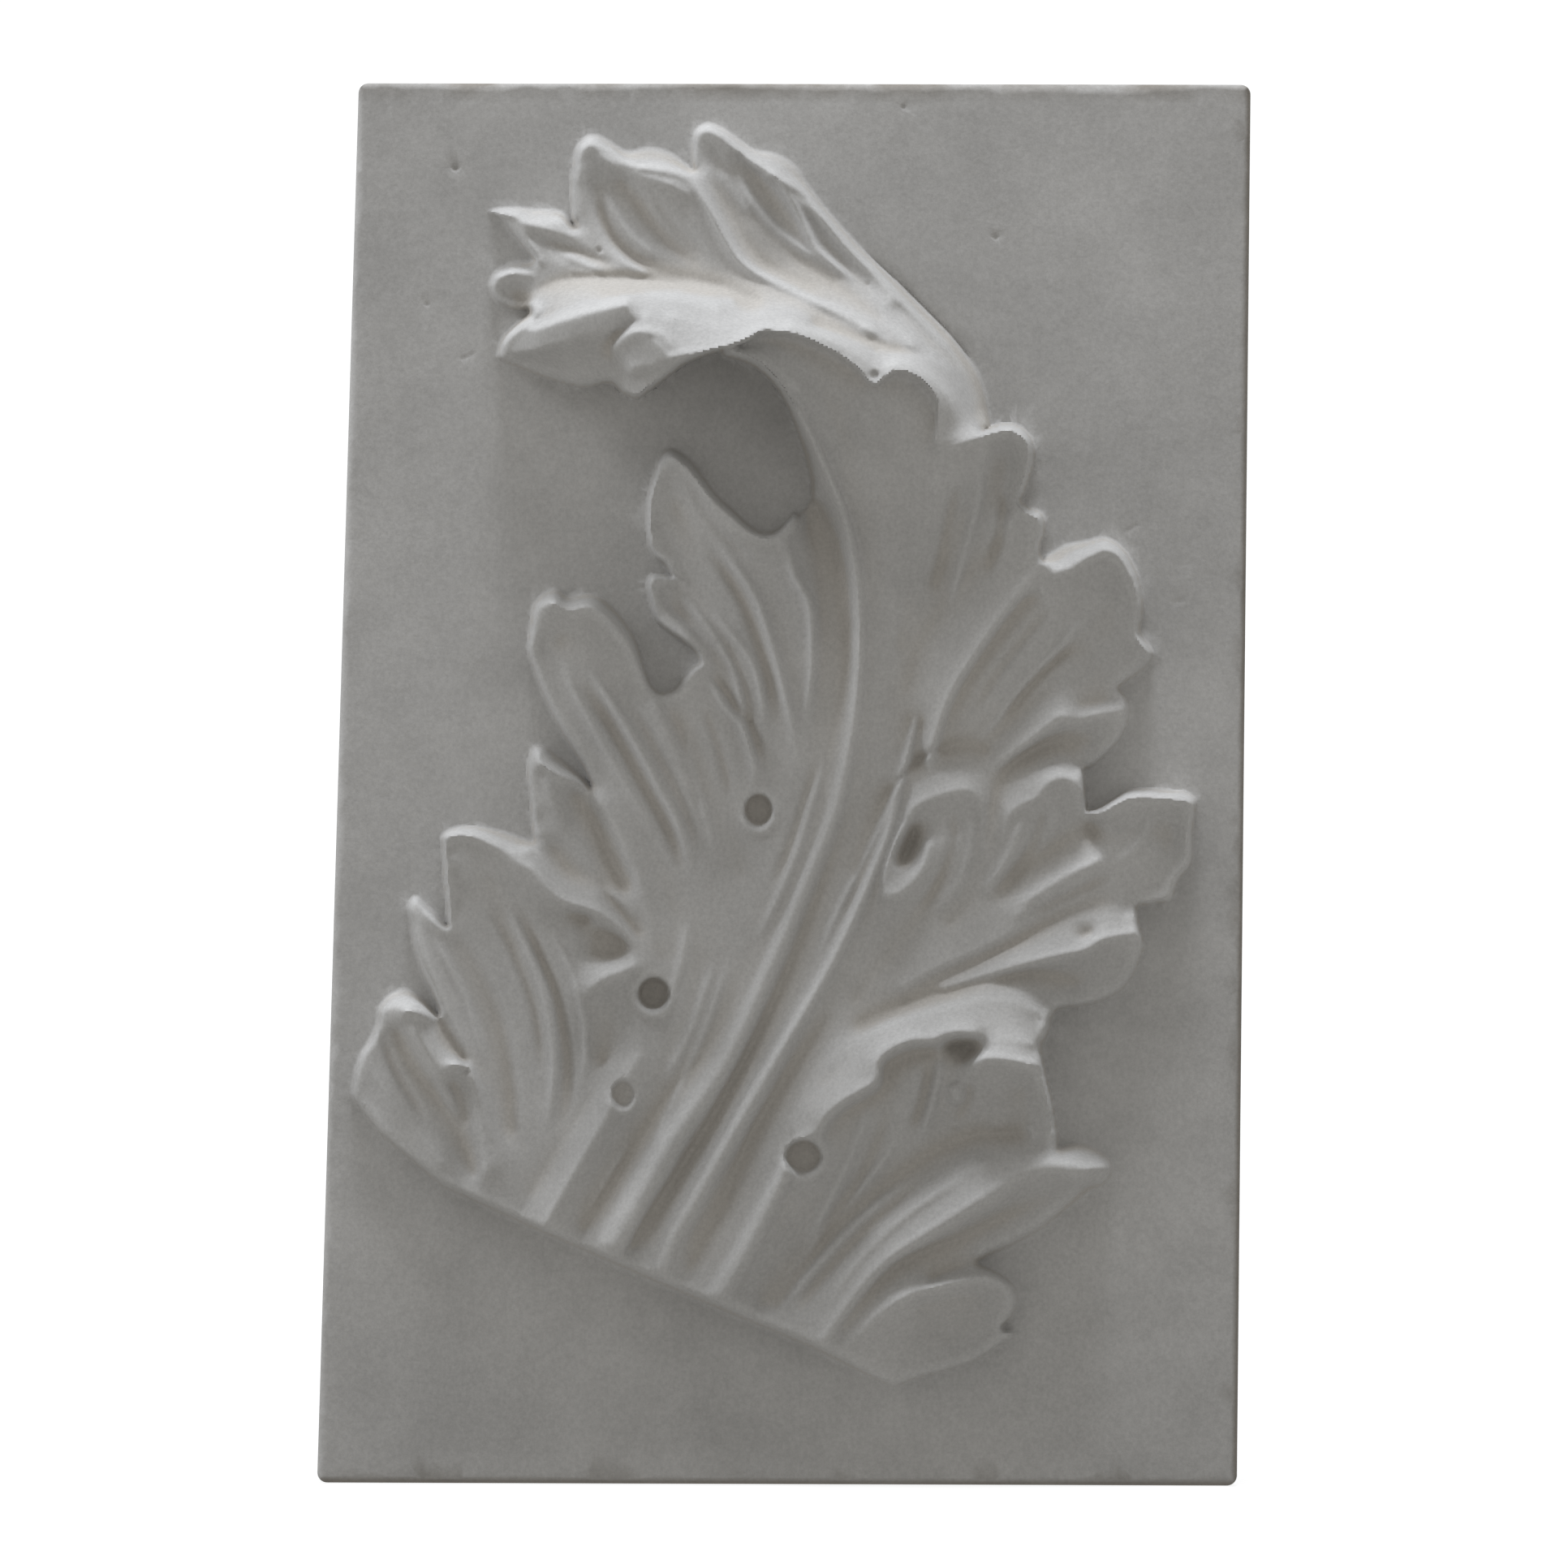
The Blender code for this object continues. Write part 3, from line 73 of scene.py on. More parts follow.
# Front view that the leaf is drawn in: u to the right, v down, in the view's own units
VIEW_CORNERS = ((443, 103), (1541, 105), (1524, 1831), (391.5, 1827))  # clockwise from the top left
VIEW_LEFT, VIEW_TOP, VIEW_RIGHT, VIEW_BOTTOM = 380, 80, 1560, 1860
UNIT = SLAB_HEIGHT / (VIEW_CORNERS[3][1] - VIEW_CORNERS[0][1])
TOP_RISE = 49.0  # drawn rise of the roll's top, which stands RELIEF_DEPTH high
# Eye of that view, in slab heights from the middle of the slab's front
EYE_RIGHT = 0.007
EYE_BACK = 2.626
EYE_UP = -0.223

# Depth of the drawing's details, in drawn units
HEM = 4.5  # width in which the skin comes down to the slab at its outline
SKIN_START = 1.0  # how far outside the outline the skin starts to rise
LINE_OVERRUN = 2.0  # how far past the outline a line inside it still counts
RIM_INSET_SHARE = 0.6  # share of its bank's width that a rim keeps from the outline
RIM_INSET_MOST = 6.0
RIM_PLAY = 1.0  # how much nearer to the outline a rim may come

# Stretching of the skin
HOLD = 12.0  # stiffness of a drawn line against the skin
FOOT_HOLD = 4.0  # how much more than a line the foot of a bank counts
LINE_EASING = 0.1  # share of a line at each end over which its hold fades
FLANK_EASING = 0.08  # the same for the flanks of a round back
SKIN_ROUNDS = 40  # rounds of stretching at each fineness
COARSEST_GRID = 10  # cells across the grid that the stretching starts from
BLUR_REACH = 2.5  # radii that a blur takes in

# Eyes, as shares of their radius
EYE_LIP = 1.12  # where the wall starts
EYE_WALL = 0.3  # width of the wall
EYE_SLANT = 1.6  # how much wider the wall gets towards its foot
EYE_RIM = 0.9  # height of the raised rim, in drawn units
EYE_RIM_AWAY = 1.2
EYE_RIM_WIDTH = 0.22
EYE_RIM_FADE = 0.3  # how far above the middle the rim fades out

# Veins, pits and scratches
MARK_REACH = 3  # widths around a mark that are looked at
VEIN_STRENGTH = 1.3
VEIN_EASING = 0.25  # share of a vein at each end over which it fades
PIT_EDGE = 1.6  # half widths from a pit's middle to its edge
SCRATCH_EASING = 0.2
MILLIMETRE = 0.001

# Unevenness: share, width of a lump in metres, seed
RIM_LUMPS = ((0.5, 0.03, 1), (0.4, 0.008, 2))
FIELD_LUMPS = ((1.0, 0.07, 3), (0.5, 0.03, 4), (0.25, 0.012, 5))
LUMPS_ACROSS = 62  # lumps after which the unevenness repeats
SHARP_ANGLE = 60  # degrees from which an edge is shaded as sharp

# Dust with painted shade, wear with painted highlight, and the painted edges, in metres
DUST_AND_SHADE_REACH = 0.006  # width of the hollows that dust and painted shade lie in
WEAR_REACH = 0.0025  # width of the crests that fingers reach
TONE_GAIN = 3  # how soon a hollow or a crest takes the full tone
LEAF_LIFT = 0.004  # rise from which the plaster counts as leaf
PAINTED_EDGE_REACH = 0.003  # width of the edges painted paler on the left and darker on the right and along the lower edge

# Ranges: the two ends of a noise that are read, then, where there are four, what they give
CLOUD_RANGE = (0.3, 0.7)
DUST_AND_SHADE_RANGE = (0.3, 0.65)
DUST_AND_SHADE_LEAST = 0.35
WEAR_AND_HIGHLIGHT_RANGE = (0.3, 0.7)
WEAR_AND_HIGHLIGHT_LEAST = 0.5  # share of the wear and painted highlight that the least worn places still have
SOOT_RANGE = (0.4, 0.6, 0.3, 0.8)
GRAIN_RANGE = (0.3, 0.7, 0.9, 1.1)
ROUGHNESS_RANGE = (0.95, 0.8)  # in the hollows and on the crests
PLASTER_SPECULAR = 0.25
BUMP_STRENGTH = 0.5

# White paper sweep, in metres
SWEEP_HALF_WIDTH = 3
SWEEP_FRONT = -4
SWEEP_WALL = 0.9
SWEEP_BEND = 0.6
SWEEP_TOP = 4.0
SWEEP_GAP = 0.0005  # between the cast's foot and the paper
SWEEP_TURNS = 13
PAPER_TONE = "#7c7c7c"
PAPER_GLOW = 0.88
# Soft boxes: name, the setting with its power, side length and place in metres
SOFT_BOXES = (
    ("overhead_soft_box", "overhead_power", 0.8, (0.1, -0.42, 3.0)),
    ("left_soft_box", "left_power", 0.5, (-1.6, -0.22, 1.3)),
)
LAMP_TONE = "#f4f8ff"
ROOM_TONE = "#fffdf9"

# Drilled eyes between the lobes: middle u, v, half width, half height, rise of the floor
EYES = (
    (935, 1000, 17, 21, 4.5),
    (806, 1226, 19, 21, 5),
    (990, 1427, 22, 22, 9),
    (768, 1350, 14, 18, 11),
)
# Slanting cut across the foot of the stem
STEM_CUT = (
    (425, 1338), (470, 1396), (546, 1460), (662, 1513), (844, 1592), (1003, 1659), (1120, 1718),
)
# Air bubbles and knocks: u, v, half width in drawn units, depth in millimetres
PITS = (
    (562, 207, 3.5, 1.2), (1114, 132, 2.6, 0.7), (1227, 292, 3, 0.8), (1070, 350, 2.6, 0.7),
    (1158, 443, 3.4, 0.9), (1081, 431, 2.6, 0.6), (527, 375, 2.4, 0.5), (788, 203, 3, 0.8),
    (739, 309, 3.2, 0.9), (1078, 463, 5, 1.6), (1281, 1257, 2.2, 0.6), (1176, 1391, 2.4, 0.7),
    (1268, 1398, 2.2, 0.5),
)
# Scratches: half width in drawn units, depth in millimetres, points
SCRATCHES = (
    (1.8, 0.35, ((566, 444), (576, 440), (588, 434))),
    (1.8, 0.4, ((1384, 656), (1393, 652), (1404, 645))),
    (1.6, 0.3, ((1442, 744), (1450, 742), (1460, 739))),
)
# Camera, from the slab's corners in the photograph, in radians
CAMERA_PITCH = 0.0818
CAMERA_YAW = 0.0045
CAMERA_ROLL = -0.0030

# Outline of the leaf, clockwise: (u, v, rise, width of the rounded bank behind the outline)
LEAF_OUTLINE = (
    ("lowest left lobe, left spear and middle left lobe", "stands", ((433, 1349, 3.2, 4),
        (437, 1322, 3.8, 5), (444, 1300, 4.2, 5), (455, 1284, 4.6, 5), (464, 1262, 5.4, 5),
        (467, 1243, 6.4, 8), (479, 1226, 10, 18), (500, 1217, 17.6, 30), (520, 1225, 18, 27),
        (533, 1239, 14.6, 16), (541, 1251, 8.5, 3), (541, 1249, 8.5, 3), (532, 1224, 8, 4),
        (518, 1192, 8, 4), (509, 1162, 7, 3), (506, 1140, 6, 4), (502, 1118, 5, 4), (512, 1104, 4, 5),
        (526, 1114, 5.6, 8), (542, 1130, 7.6, 7), (552, 1141, 8, 3), (551, 1137, 8.4, 2),
        (550, 1112, 8.8, 2), (547, 1082, 9.2, 2), (545, 1050, 9.8, 2), (546, 1030, 10.6, 3),
        (557, 1022, 13, 6), (585, 1018, 14, 11), (612, 1022, 14, 18), (634, 1028, 14, 24),
        (648, 1033, 13, 20), (657, 1036, 11, 10))),
    ("back lobe", "stands", ((657, 1034, 7, 2), (653, 980, 7, 2), (650, 955, 7, 2), (652, 935, 8, 3),
        (658, 919, 12, 12), (672, 918, 15, 26), (690, 930, 15, 24), (706, 944, 13.4, 18),
        (719, 957, 10.4, 9), (729, 970, 7, 2))),
    ("upper left lobe", "stands", ((729, 969, 7, 2), (719, 948, 8, 5), (704, 924, 8.5, 6),
        (688, 896, 8.5, 5), (671, 860, 8, 4), (658, 826, 8, 3), (650, 800, 8.4, 3), (653, 775, 9.4, 4),
        (655, 758, 11, 5), (660, 741, 14, 9), (672, 730, 19, 15), (686, 725, 21, 18), (702, 735, 18.8, 16),
        (720, 731, 18, 15), (738, 733, 18, 16), (752, 743, 17.6, 16), (768, 761, 17.4, 15),
        (782, 782, 16.4, 13), (790, 804, 13.6, 9), (797, 828, 10.5, 5), (805, 846, 8, 3),
        (813, 853, 7, 2))),
    ("small inner lobe", "stands", ((813, 853, 7, 2), (826, 851, 8, 3), (836, 843, 10, 5),
        (843, 832, 11, 5), (853, 822, 11, 5), (862, 817, 10, 3))),
    ("notch under the inner lobe", "stands", ((862, 818, 10, 3), (858, 806, 10, 3), (842, 792, 11, 3),
        (822, 778, 9, 2), (808, 764, 8, 2), (801, 742, 8, 2), (797, 720, 8, 3), (802, 709, 8, 3),
        (815, 708, 8, 2), (828, 710, 9, 2))),
    ("inner lobe", "stands", ((828, 710, 9, 2), (820, 698, 8, 2), (806, 685, 7.6, 2), (799, 668, 8.6, 2),
        (797, 640, 9, 2), (799, 610, 9.2, 2), (806, 585, 9.6, 2), (812, 566, 10.4, 3), (824, 553, 12, 8),
        (838, 556, 14, 10), (852, 567, 14, 9), (868, 587, 13, 9), (886, 611, 13, 9), (908, 631, 12, 9),
        (925, 647, 11.6, 8), (940, 655, 11, 7), (956, 652, 10, 6), (970, 640, 10, 4), (979, 631, 10, 3))),
    ("gap beside the stem", "hangs", ((979, 631, 6), (984, 634, 3.5), (991, 628, 2.5), (997, 618, 2.2))),
    ("side of the rib up to the curl", "stands", ((999, 614, 7, 5), (998, 596, 12, 9), (993, 573, 18, 12),
        (986, 546, 23, 12), (976, 515, 28, 11), (963, 487, 33, 10), (946, 465, 36.5, 8),
        (920, 448, 39.6, 6), (893, 439, 41.4, 4))),
    ("hidden under the turned tip", "hangs", ((888, 434), (896, 420), (900, 396), (1000, 380), (1120, 400),
        (1195, 470), (1208, 505))),
    ("shoulder lobe", "stands", ((1212, 529, 31.4, 3), (1226, 524, 31.4, 5), (1243, 522, 31.4, 5),
        (1262, 529, 31, 5), (1273, 545, 30, 3), (1274, 570, 29, 3), (1266, 597, 27, 3),
        (1258, 618, 25, 2))),
    ("shoulder step", "stands", ((1258, 618, 25, 2), (1268, 625, 25, 5), (1284, 633, 24, 4),
        (1287, 655, 23, 3), (1281, 676, 22, 2), (1286, 690, 20, 4))),
    ("upper right lobe", "stands", ((1286, 686, 17, 22), (1310, 672, 17, 30), (1340, 666, 17, 17),
        (1362, 662, 17, 13), (1383, 674, 17, 9), (1398, 697, 16.5, 7), (1406, 722, 16, 4),
        (1409, 750, 15, 3), (1406, 780, 14, 3), (1412, 790, 16, 4), (1421, 806, 13, 5), (1415, 821, 10, 7),
        (1400, 834, 8.5, 8), (1388, 842, 7.5, 5), (1380, 848, 7, 3))),
    ("lower tip of the upper right lobe", "stands", ((1380, 849, 7, 3), (1388, 858, 9, 5),
        (1393, 871, 9.5, 5), (1391, 890, 9, 4), (1380, 912, 10, 3), (1362, 932, 9, 3), (1345, 946, 8, 2))),
    ("side of the second fold", "stands", ((1336, 950, 14, 2), (1338, 975, 14, 3), (1340, 998, 12.4, 2))),
    ("third fold", "stands", ((1341, 998, 13, 2), (1352, 995, 15, 5), (1370, 985, 17, 5),
        (1390, 973, 18, 8), (1410, 971, 18, 9), (1435, 973, 18, 9), (1462, 976, 17, 9), (1474, 986, 16, 5),
        (1472, 1005, 15, 3), (1469, 1030, 15, 3), (1468, 1065, 13, 3), (1455, 1082, 12, 3),
        (1449, 1095, 12, 3), (1444, 1110, 11, 3), (1425, 1114, 11, 3), (1405, 1118, 10, 2))),
    ("fourth fold", "stands", ((1402, 1118, 12, 2), (1403, 1130, 15, 2), (1406, 1145, 16, 3),
        (1410, 1165, 15, 3), (1404, 1185, 13, 3), (1395, 1205, 12, 3), (1380, 1222, 11, 3),
        (1358, 1234, 10, 3), (1330, 1241, 10, 3), (1305, 1244, 9, 3))),
    ("end of the folded band", "stands", ((1303, 1245, 10, 2), (1297, 1254, 14, 4), (1294, 1270, 16, 5),
        (1285, 1288, 15, 3))),
    ("low right lobe", "stands", ((1284, 1286, 13, 3), (1287, 1308, 19, 4), (1291, 1330, 19, 3),
        (1297, 1355, 17, 3), (1301, 1380, 15, 3), (1304, 1400, 12, 3), (1304, 1415, 11, 2))),
    ("long low lobe", "stands", ((1304, 1413, 12, 12), (1318, 1407, 17, 28), (1338, 1407, 18.5, 36),
        (1358, 1417, 17, 30), (1373, 1436, 11, 12), (1366, 1457, 7, 6), (1345, 1469, 6, 7),
        (1318, 1490, 6, 8), (1290, 1513, 6, 9), (1250, 1536, 6, 9), (1222, 1548, 6.5, 7),
        (1206, 1556, 7, 3))),
    ("lowest right tip", "stands", ((1206, 1557, 7, 3), (1218, 1562, 10.5, 6), (1236, 1571, 11.5, 7),
        (1251, 1586, 10, 5), (1254, 1604, 8, 3), (1248, 1622, 7, 3), (1236, 1637, 6, 2), (1250, 1640, 6, 2),
        (1250, 1648, 5, 3), (1235, 1657, 5, 3), (1205, 1676, 5, 3), (1170, 1689, 5, 3), (1135, 1698, 5, 3),
        (1104, 1709, 5, 3))),
    ("below the cut", "hangs", ((1080, 1732), (1000, 1700), (930, 1668), (860, 1636), (780, 1608),
        (700, 1570), (640, 1545), (560, 1510), (500, 1480), (452, 1425), (425, 1375))),
)

# Crests, valleys and feet of the leaf: (u, v, rise)
LEAF_LINES = {
    "long low lobe band": ((1240, 1428, 15), (1206, 1438, 16.6), (1170, 1460, 16.6), (1130, 1486, 15.2),
        (1088, 1520, 13.4)),
    "middle left lobe face left": ((561, 1056, 9.4), (566, 1086, 8.2)),
    "left notch left": ((704, 1140, 11.4), (708, 1172, 11.6), (704, 1212, 11.6)),
    "middle left lobe face": ((590, 1048, 12.4), (606, 1090, 10), (622, 1130, 9), (644, 1170, 8.8)),
    "lowest right tip rim": ((1140, 1589, 17), (1158, 1584, 17), (1180, 1579, 16.6), (1202, 1574, 15.6),
        (1222, 1574, 14)),
    "lowest right tip slit": ((1146, 1576, 11), (1160, 1568, 10.4), (1180, 1562, 9.6), (1200, 1559, 9)),
    "first fold rim": ((1086, 1090, 13.6), (1092, 1066, 14.6), (1104, 1038, 14.6), (1117, 1016, 14)),
    "right lower tip rim": ((1326, 888, 12), (1340, 883, 12.6), (1360, 878, 12.4), (1384, 874, 11)),
    "right lower tip slit": ((1378, 861, 6.8), (1352, 866, 7.6), (1330, 870, 9)),
    "ridge a foot": ((640, 1500, 10.8), (656, 1470, 10.8), (694, 1404, 11.4), (728, 1350, 11.6),
        (760, 1300, 11.4)),
    "small inner lobe crease": ((819, 860, 8), (834, 890, 8), (846, 920, 8.6), (855, 950, 9.2),
        (862, 990, 9.8)),
    "lowest left lobe pocket": ((557, 1334, 8.2), (567, 1354, 7.6), (576, 1382, 7.2)),
    "lowest left lobe hook": ((544, 1324, 11), (556, 1312, 16), (574, 1313, 16.6), (585, 1330, 13.4),
        (591, 1365, 11.6), (597, 1410, 11.6), (600, 1450, 12)),
    "lowest left lobe ridge": ((510, 1266, 14), (524, 1292, 12.6), (538, 1322, 11), (553, 1352, 9),
        (567, 1378, 7.4)),
    "lowest left lobe crease": ((538, 1250, 6.4), (552, 1276, 6.6), (566, 1300, 7.4), (580, 1322, 8.6)),
    "lowest right tip drop": ((1130, 1614, 12), (1160, 1603, 12), (1192, 1596, 11), (1220, 1594, 10),
        (1238, 1602, 8.6)),
    "shoulder lobe rim": ((1156, 553, 32.8), (1174, 549, 32.8), (1192, 543, 32.4), (1210, 536, 31.4),
        (1226, 532, 30.6)),
    "upper right ridge fall": ((1292, 742, 16.5), (1268, 738, 15.6), (1248, 756, 14.6), (1226, 784, 13.4),
        (1204, 816, 12.4), (1186, 846, 11.6), (1170, 880, 11), (1158, 915, 10.6), (1152, 945, 10.4)),
    "lip root": ((892, 428, 42), (905, 408, 42), (934, 398, 41.6), (970, 396, 41), (1020, 412, 40),
        (1052, 436, 39), (1078, 450, 38.6), (1112, 442, 38.4), (1148, 462, 36), (1176, 500, 34)),
    "panel top": ((1000, 462, 34), (1022, 500, 30), (1046, 556, 24.5)),
    "rib": ((752, 1545, 17), (774, 1505, 17), (788, 1480, 16.4), (832, 1402, 15.2), (868, 1350, 14.2),
        (899, 1300, 13.4), (946, 1200, 12.6), (989, 1100, 12.4), (1029, 1000, 12.5), (1048, 920, 12.9),
        (1059, 850, 13.4), (1063, 790, 14.2), (1061, 730, 15.2), (1053, 680, 16.4), (1040, 632, 18.5),
        (1024, 590, 21), (1009, 556, 24.5), (992, 522, 29), (974, 490, 33.4), (957, 467, 36.8),
        (936, 450, 39.4)),
    "dark valley": ((997, 640, 3.2), (1008, 680, 5.2), (1014, 740, 7.4), (1016, 800, 8.8), (1010, 870, 9.6),
        (998, 940, 10), (980, 1010, 10.4)),
    "groove b": ((766, 1556, 11.5), (784, 1520, 10.2), (810, 1480, 8.6), (862, 1402, 7.8), (918, 1300, 7.6),
        (968, 1200, 7.8), (1008, 1100, 8.8), (1045, 1000, 10), (1062, 930, 11.1), (1072, 860, 12),
        (1076, 800, 12.7), (1072, 730, 13.8), (1064, 680, 15.2), (1052, 632, 17.4), (1036, 590, 20),
        (1022, 556, 23.3), (1006, 522, 27.6), (988, 490, 32.6), (971, 464, 37.5)),
    "ridge c": ((812, 1572, 15.5), (828, 1530, 15.2), (857, 1480, 15), (902, 1401, 14.6), (961, 1300, 14.2),
        (1019, 1200, 13.8), (1062, 1110, 14.2), (1096, 1020, 13.8), (1116, 940, 13), (1130, 880, 12)),
    "groove c": ((838, 1590, 11), (860, 1540, 9.8), (890, 1480, 8.2), (922, 1405, 8.2), (972, 1320, 9.4),
        (1022, 1250, 10.6)),
    "ridge d": ((884, 1602, 15.5), (918, 1545, 15.5), (950, 1482, 15.5), (976, 1430, 16),
        (990, 1402, 16.5)),
    "ridge a": ((672, 1512, 15), (686, 1486, 15), (708, 1446, 15), (733, 1402, 14.8), (758, 1358, 14.2),
        (789, 1300, 13.2)),
    "groove a": ((708, 1538, 8.4), (722, 1508, 8.2), (742, 1478, 8.2), (792, 1400, 8.6), (828, 1345, 9.4),
        (865, 1300, 10), (915, 1200, 10.4), (957, 1100, 10.6), (1003, 1000, 10.4), (1030, 900, 9.8),
        (1045, 800, 9), (1041, 735, 8), (1031, 680, 6), (1014, 640, 4), (1003, 618, 3)),
    "under lip": ((905, 428, 37), (930, 422, 36), (962, 422, 35.4), (992, 430, 35), (1018, 442, 34.4),
        (1042, 456, 34), (1062, 473, 34), (1076, 486, 34), (1090, 481, 34), (1108, 468, 34),
        (1126, 473, 33.4), (1141, 486, 32.8), (1147, 502, 32), (1147, 524, 31.4), (1149, 548, 30.6)),
    "panel a": ((1104, 880, 10.8), (1102, 800, 12.2), (1098, 700, 15.8), (1092, 620, 21), (1082, 550, 27.5),
        (1066, 505, 33)),
    "panel crease": ((1163, 549, 33), (1153, 595, 27.6), (1143, 640, 22.2), (1131, 690, 17),
        (1120, 740, 13.4), (1108, 800, 11)),
    "panel b": ((1214, 550, 30.5), (1202, 600, 25), (1186, 646, 19.4), (1166, 690, 15), (1148, 724, 12.8)),
    "panel c": ((1246, 640, 22.5), (1222, 680, 17)),
    "upper right ridge": ((1290, 716, 17.6), (1283, 696, 21), (1268, 711, 22), (1248, 738, 21.6),
        (1221, 776, 20.4), (1198, 811, 19), (1178, 842, 17.4), (1163, 875, 16), (1152, 911, 14.4),
        (1144, 940, 13)),
    "upper right ridge foot": ((1242, 666, 19.4), (1208, 692, 16), (1174, 730, 13.6), (1146, 770, 12),
        (1126, 810, 11.2), (1114, 854, 10.8)),
    "upper right valley": ((1372, 800, 11), (1322, 802, 9.4), (1290, 824, 8.8), (1262, 852, 8.6),
        (1236, 882, 8.6), (1206, 908, 8.2)),
    "upper right mid": ((1372, 722, 15), (1335, 760, 13.4), (1290, 788, 12), (1246, 830, 11),
        (1206, 875, 9.8)),
    "right lower tip crest": ((1318, 884, 13.4), (1304, 884, 14.4), (1288, 896, 14.4), (1265, 914, 13.6),
        (1240, 932, 12), (1224, 946, 10.6)),
    "right lower tip foot": ((1312, 840, 9.4), (1282, 858, 9), (1248, 886, 8.6), (1216, 914, 8)),
    "right lower tip valley": ((1346, 914, 7.2), (1316, 910, 6.8), (1284, 916, 7), (1256, 932, 7.6),
        (1236, 950, 8)),
    "first fold loop": ((1092, 1101, 14.6), (1104, 1103, 15.4), (1122, 1090, 15.4), (1139, 1065, 14.6),
        (1145, 1040, 13.6)),
    "first fold top": ((1118, 1013, 13), (1129, 994, 14.4), (1150, 983, 15), (1172, 976, 15.4),
        (1192, 974, 15.4), (1204, 981, 14.8), (1209, 998, 13.4), (1210, 1025, 12.4), (1210, 1055, 11.6)),
    "first fold foot": ((1054, 1080, 9.8), (1064, 1042, 9.4), (1084, 1000, 8.8), (1112, 956, 7.8),
        (1146, 928, 7.2), (1186, 918, 6.8), (1218, 925, 7)),
    "eye slot": ((1128, 1020, 7), (1121, 1040, 5), (1112, 1060, 6.4)),
    "first fold face": ((1178, 1030, 13.8), (1160, 1085, 10.8), (1126, 1135, 9.5), (1088, 1185, 9),
        (1052, 1235, 9)),
    "second fold foot": ((1220, 1060, 11), (1221, 1020, 11.6), (1225, 985, 10.8), (1240, 948, 8.4),
        (1266, 932, 7.2), (1290, 920, 6.8), (1308, 917, 6.8), (1328, 924, 6.8)),
    "second fold crest": ((1240, 1028, 12.8), (1244, 1005, 13.8), (1258, 992, 14.6), (1277, 983, 15),
        (1290, 968, 15.6), (1305, 960, 15.8), (1322, 964, 15.4), (1333, 976, 14.6)),
    "second fold face": ((1304, 1000, 13.6), (1258, 1050, 11), (1216, 1092, 9.8), (1165, 1140, 8.8)),
    "hollow by the third fold": ((1343, 1016, 7), (1348, 1030, 7)),
    "third fold band foot": ((1330, 1024, 9), (1300, 1044, 8.4), (1264, 1070, 8.2), (1230, 1098, 8.4)),
    "third fold band crest": ((1356, 1058, 14.4), (1322, 1084, 13.6), (1286, 1108, 12.6),
        (1250, 1130, 11.6)),
    "third fold face": ((1425, 1045, 13), (1378, 1078, 12), (1338, 1099, 11.6)),
    "thin ridge": ((1335, 1103, 11.8), (1290, 1125, 11.2), (1242, 1153, 10.8), (1195, 1176, 10.6),
        (1150, 1196, 10.4), (1108, 1218, 10.4)),
    "thin groove": ((1385, 1110, 11.6), (1335, 1117, 11), (1290, 1138, 10), (1250, 1161, 9.2),
        (1200, 1185, 8.8), (1150, 1207, 8.8), (1105, 1230, 9.4)),
    "fourth fold crest": ((1404, 1150, 16.8), (1380, 1153, 17), (1356, 1159, 17), (1338, 1170, 16.8),
        (1310, 1176, 16.2), (1277, 1184, 15), (1235, 1196, 13), (1205, 1207, 11.8), (1160, 1221, 10.6)),
    "fourth fold hollow": ((1332, 1153, 12.4), (1346, 1148, 12.4)),
    "fourth fold back": ((1397, 1130, 14), (1372, 1130, 13.6), (1350, 1131, 13), (1322, 1138, 12.2),
        (1292, 1150, 11.6), (1262, 1166, 11)),
    "fourth fold valley": ((1330, 1212, 8.6), (1300, 1203, 9.4), (1266, 1198, 10), (1232, 1204, 9.8),
        (1196, 1212, 9.2), (1150, 1227, 9), (1100, 1245, 9), (1055, 1265, 10)),
    "fold crest": ((990, 1404, 16.5), (1008, 1392, 17.5), (1016, 1377, 18.8), (1037, 1358, 20.8),
        (1062, 1343, 22.6), (1079, 1331, 22.8), (1083, 1307, 22.8), (1098, 1293, 22.8), (1126, 1282, 22.6),
        (1150, 1281, 22.4), (1163, 1275, 22.2), (1180, 1272, 22), (1204, 1273, 22)),
    "fold mid": ((1010, 1340, 15), (1045, 1300, 16.4), (1090, 1268, 16.4), (1140, 1252, 16.2),
        (1200, 1236, 15.6), (1250, 1236, 15.6), (1280, 1248, 15.6)),
    "low right hollow below": ((1018, 1406, 13), (1028, 1386, 14.5), (1048, 1368, 15), (1070, 1356, 14.6),
        (1088, 1342, 14.2), (1092, 1316, 14.2), (1106, 1305, 14.2), (1132, 1296, 14), (1152, 1294, 13.4)),
    "low right pocket": ((1168, 1290, 11), (1184, 1286, 10), (1200, 1290, 10.6), (1186, 1304, 11.4)),
    "low right tip crest": ((1190, 1328, 16.4), (1198, 1313, 20.4), (1214, 1304, 25), (1237, 1306, 27),
        (1258, 1310, 26.8), (1280, 1314, 24)),
    "low right tip foot": ((1222, 1284, 22), (1240, 1281, 22.4), (1258, 1283, 22), (1274, 1288, 20.6)),
    "low right hollow face": ((1062, 1400, 11.6), (1040, 1450, 10), (1004, 1515, 8.6), (960, 1590, 7.8)),
    "low right tip face": ((1262, 1345, 15.4), (1240, 1380, 11.4), (1206, 1400, 8.6)),
    "low right face foot": ((1140, 1398, 9.6), (1100, 1432, 8.6), (1040, 1484, 8), (985, 1548, 7.8),
        (936, 1612, 7.8)),
    "long low lobe band foot": ((1258, 1398, 8.8), (1206, 1398, 8), (1150, 1420, 7.4), (1100, 1455, 7),
        (1046, 1501, 7), (1000, 1551, 7), (952, 1614, 7.4)),
    "long low lobe crest": ((1340, 1447, 16), (1320, 1442, 18.4), (1292, 1439, 17.8), (1266, 1443, 17.8),
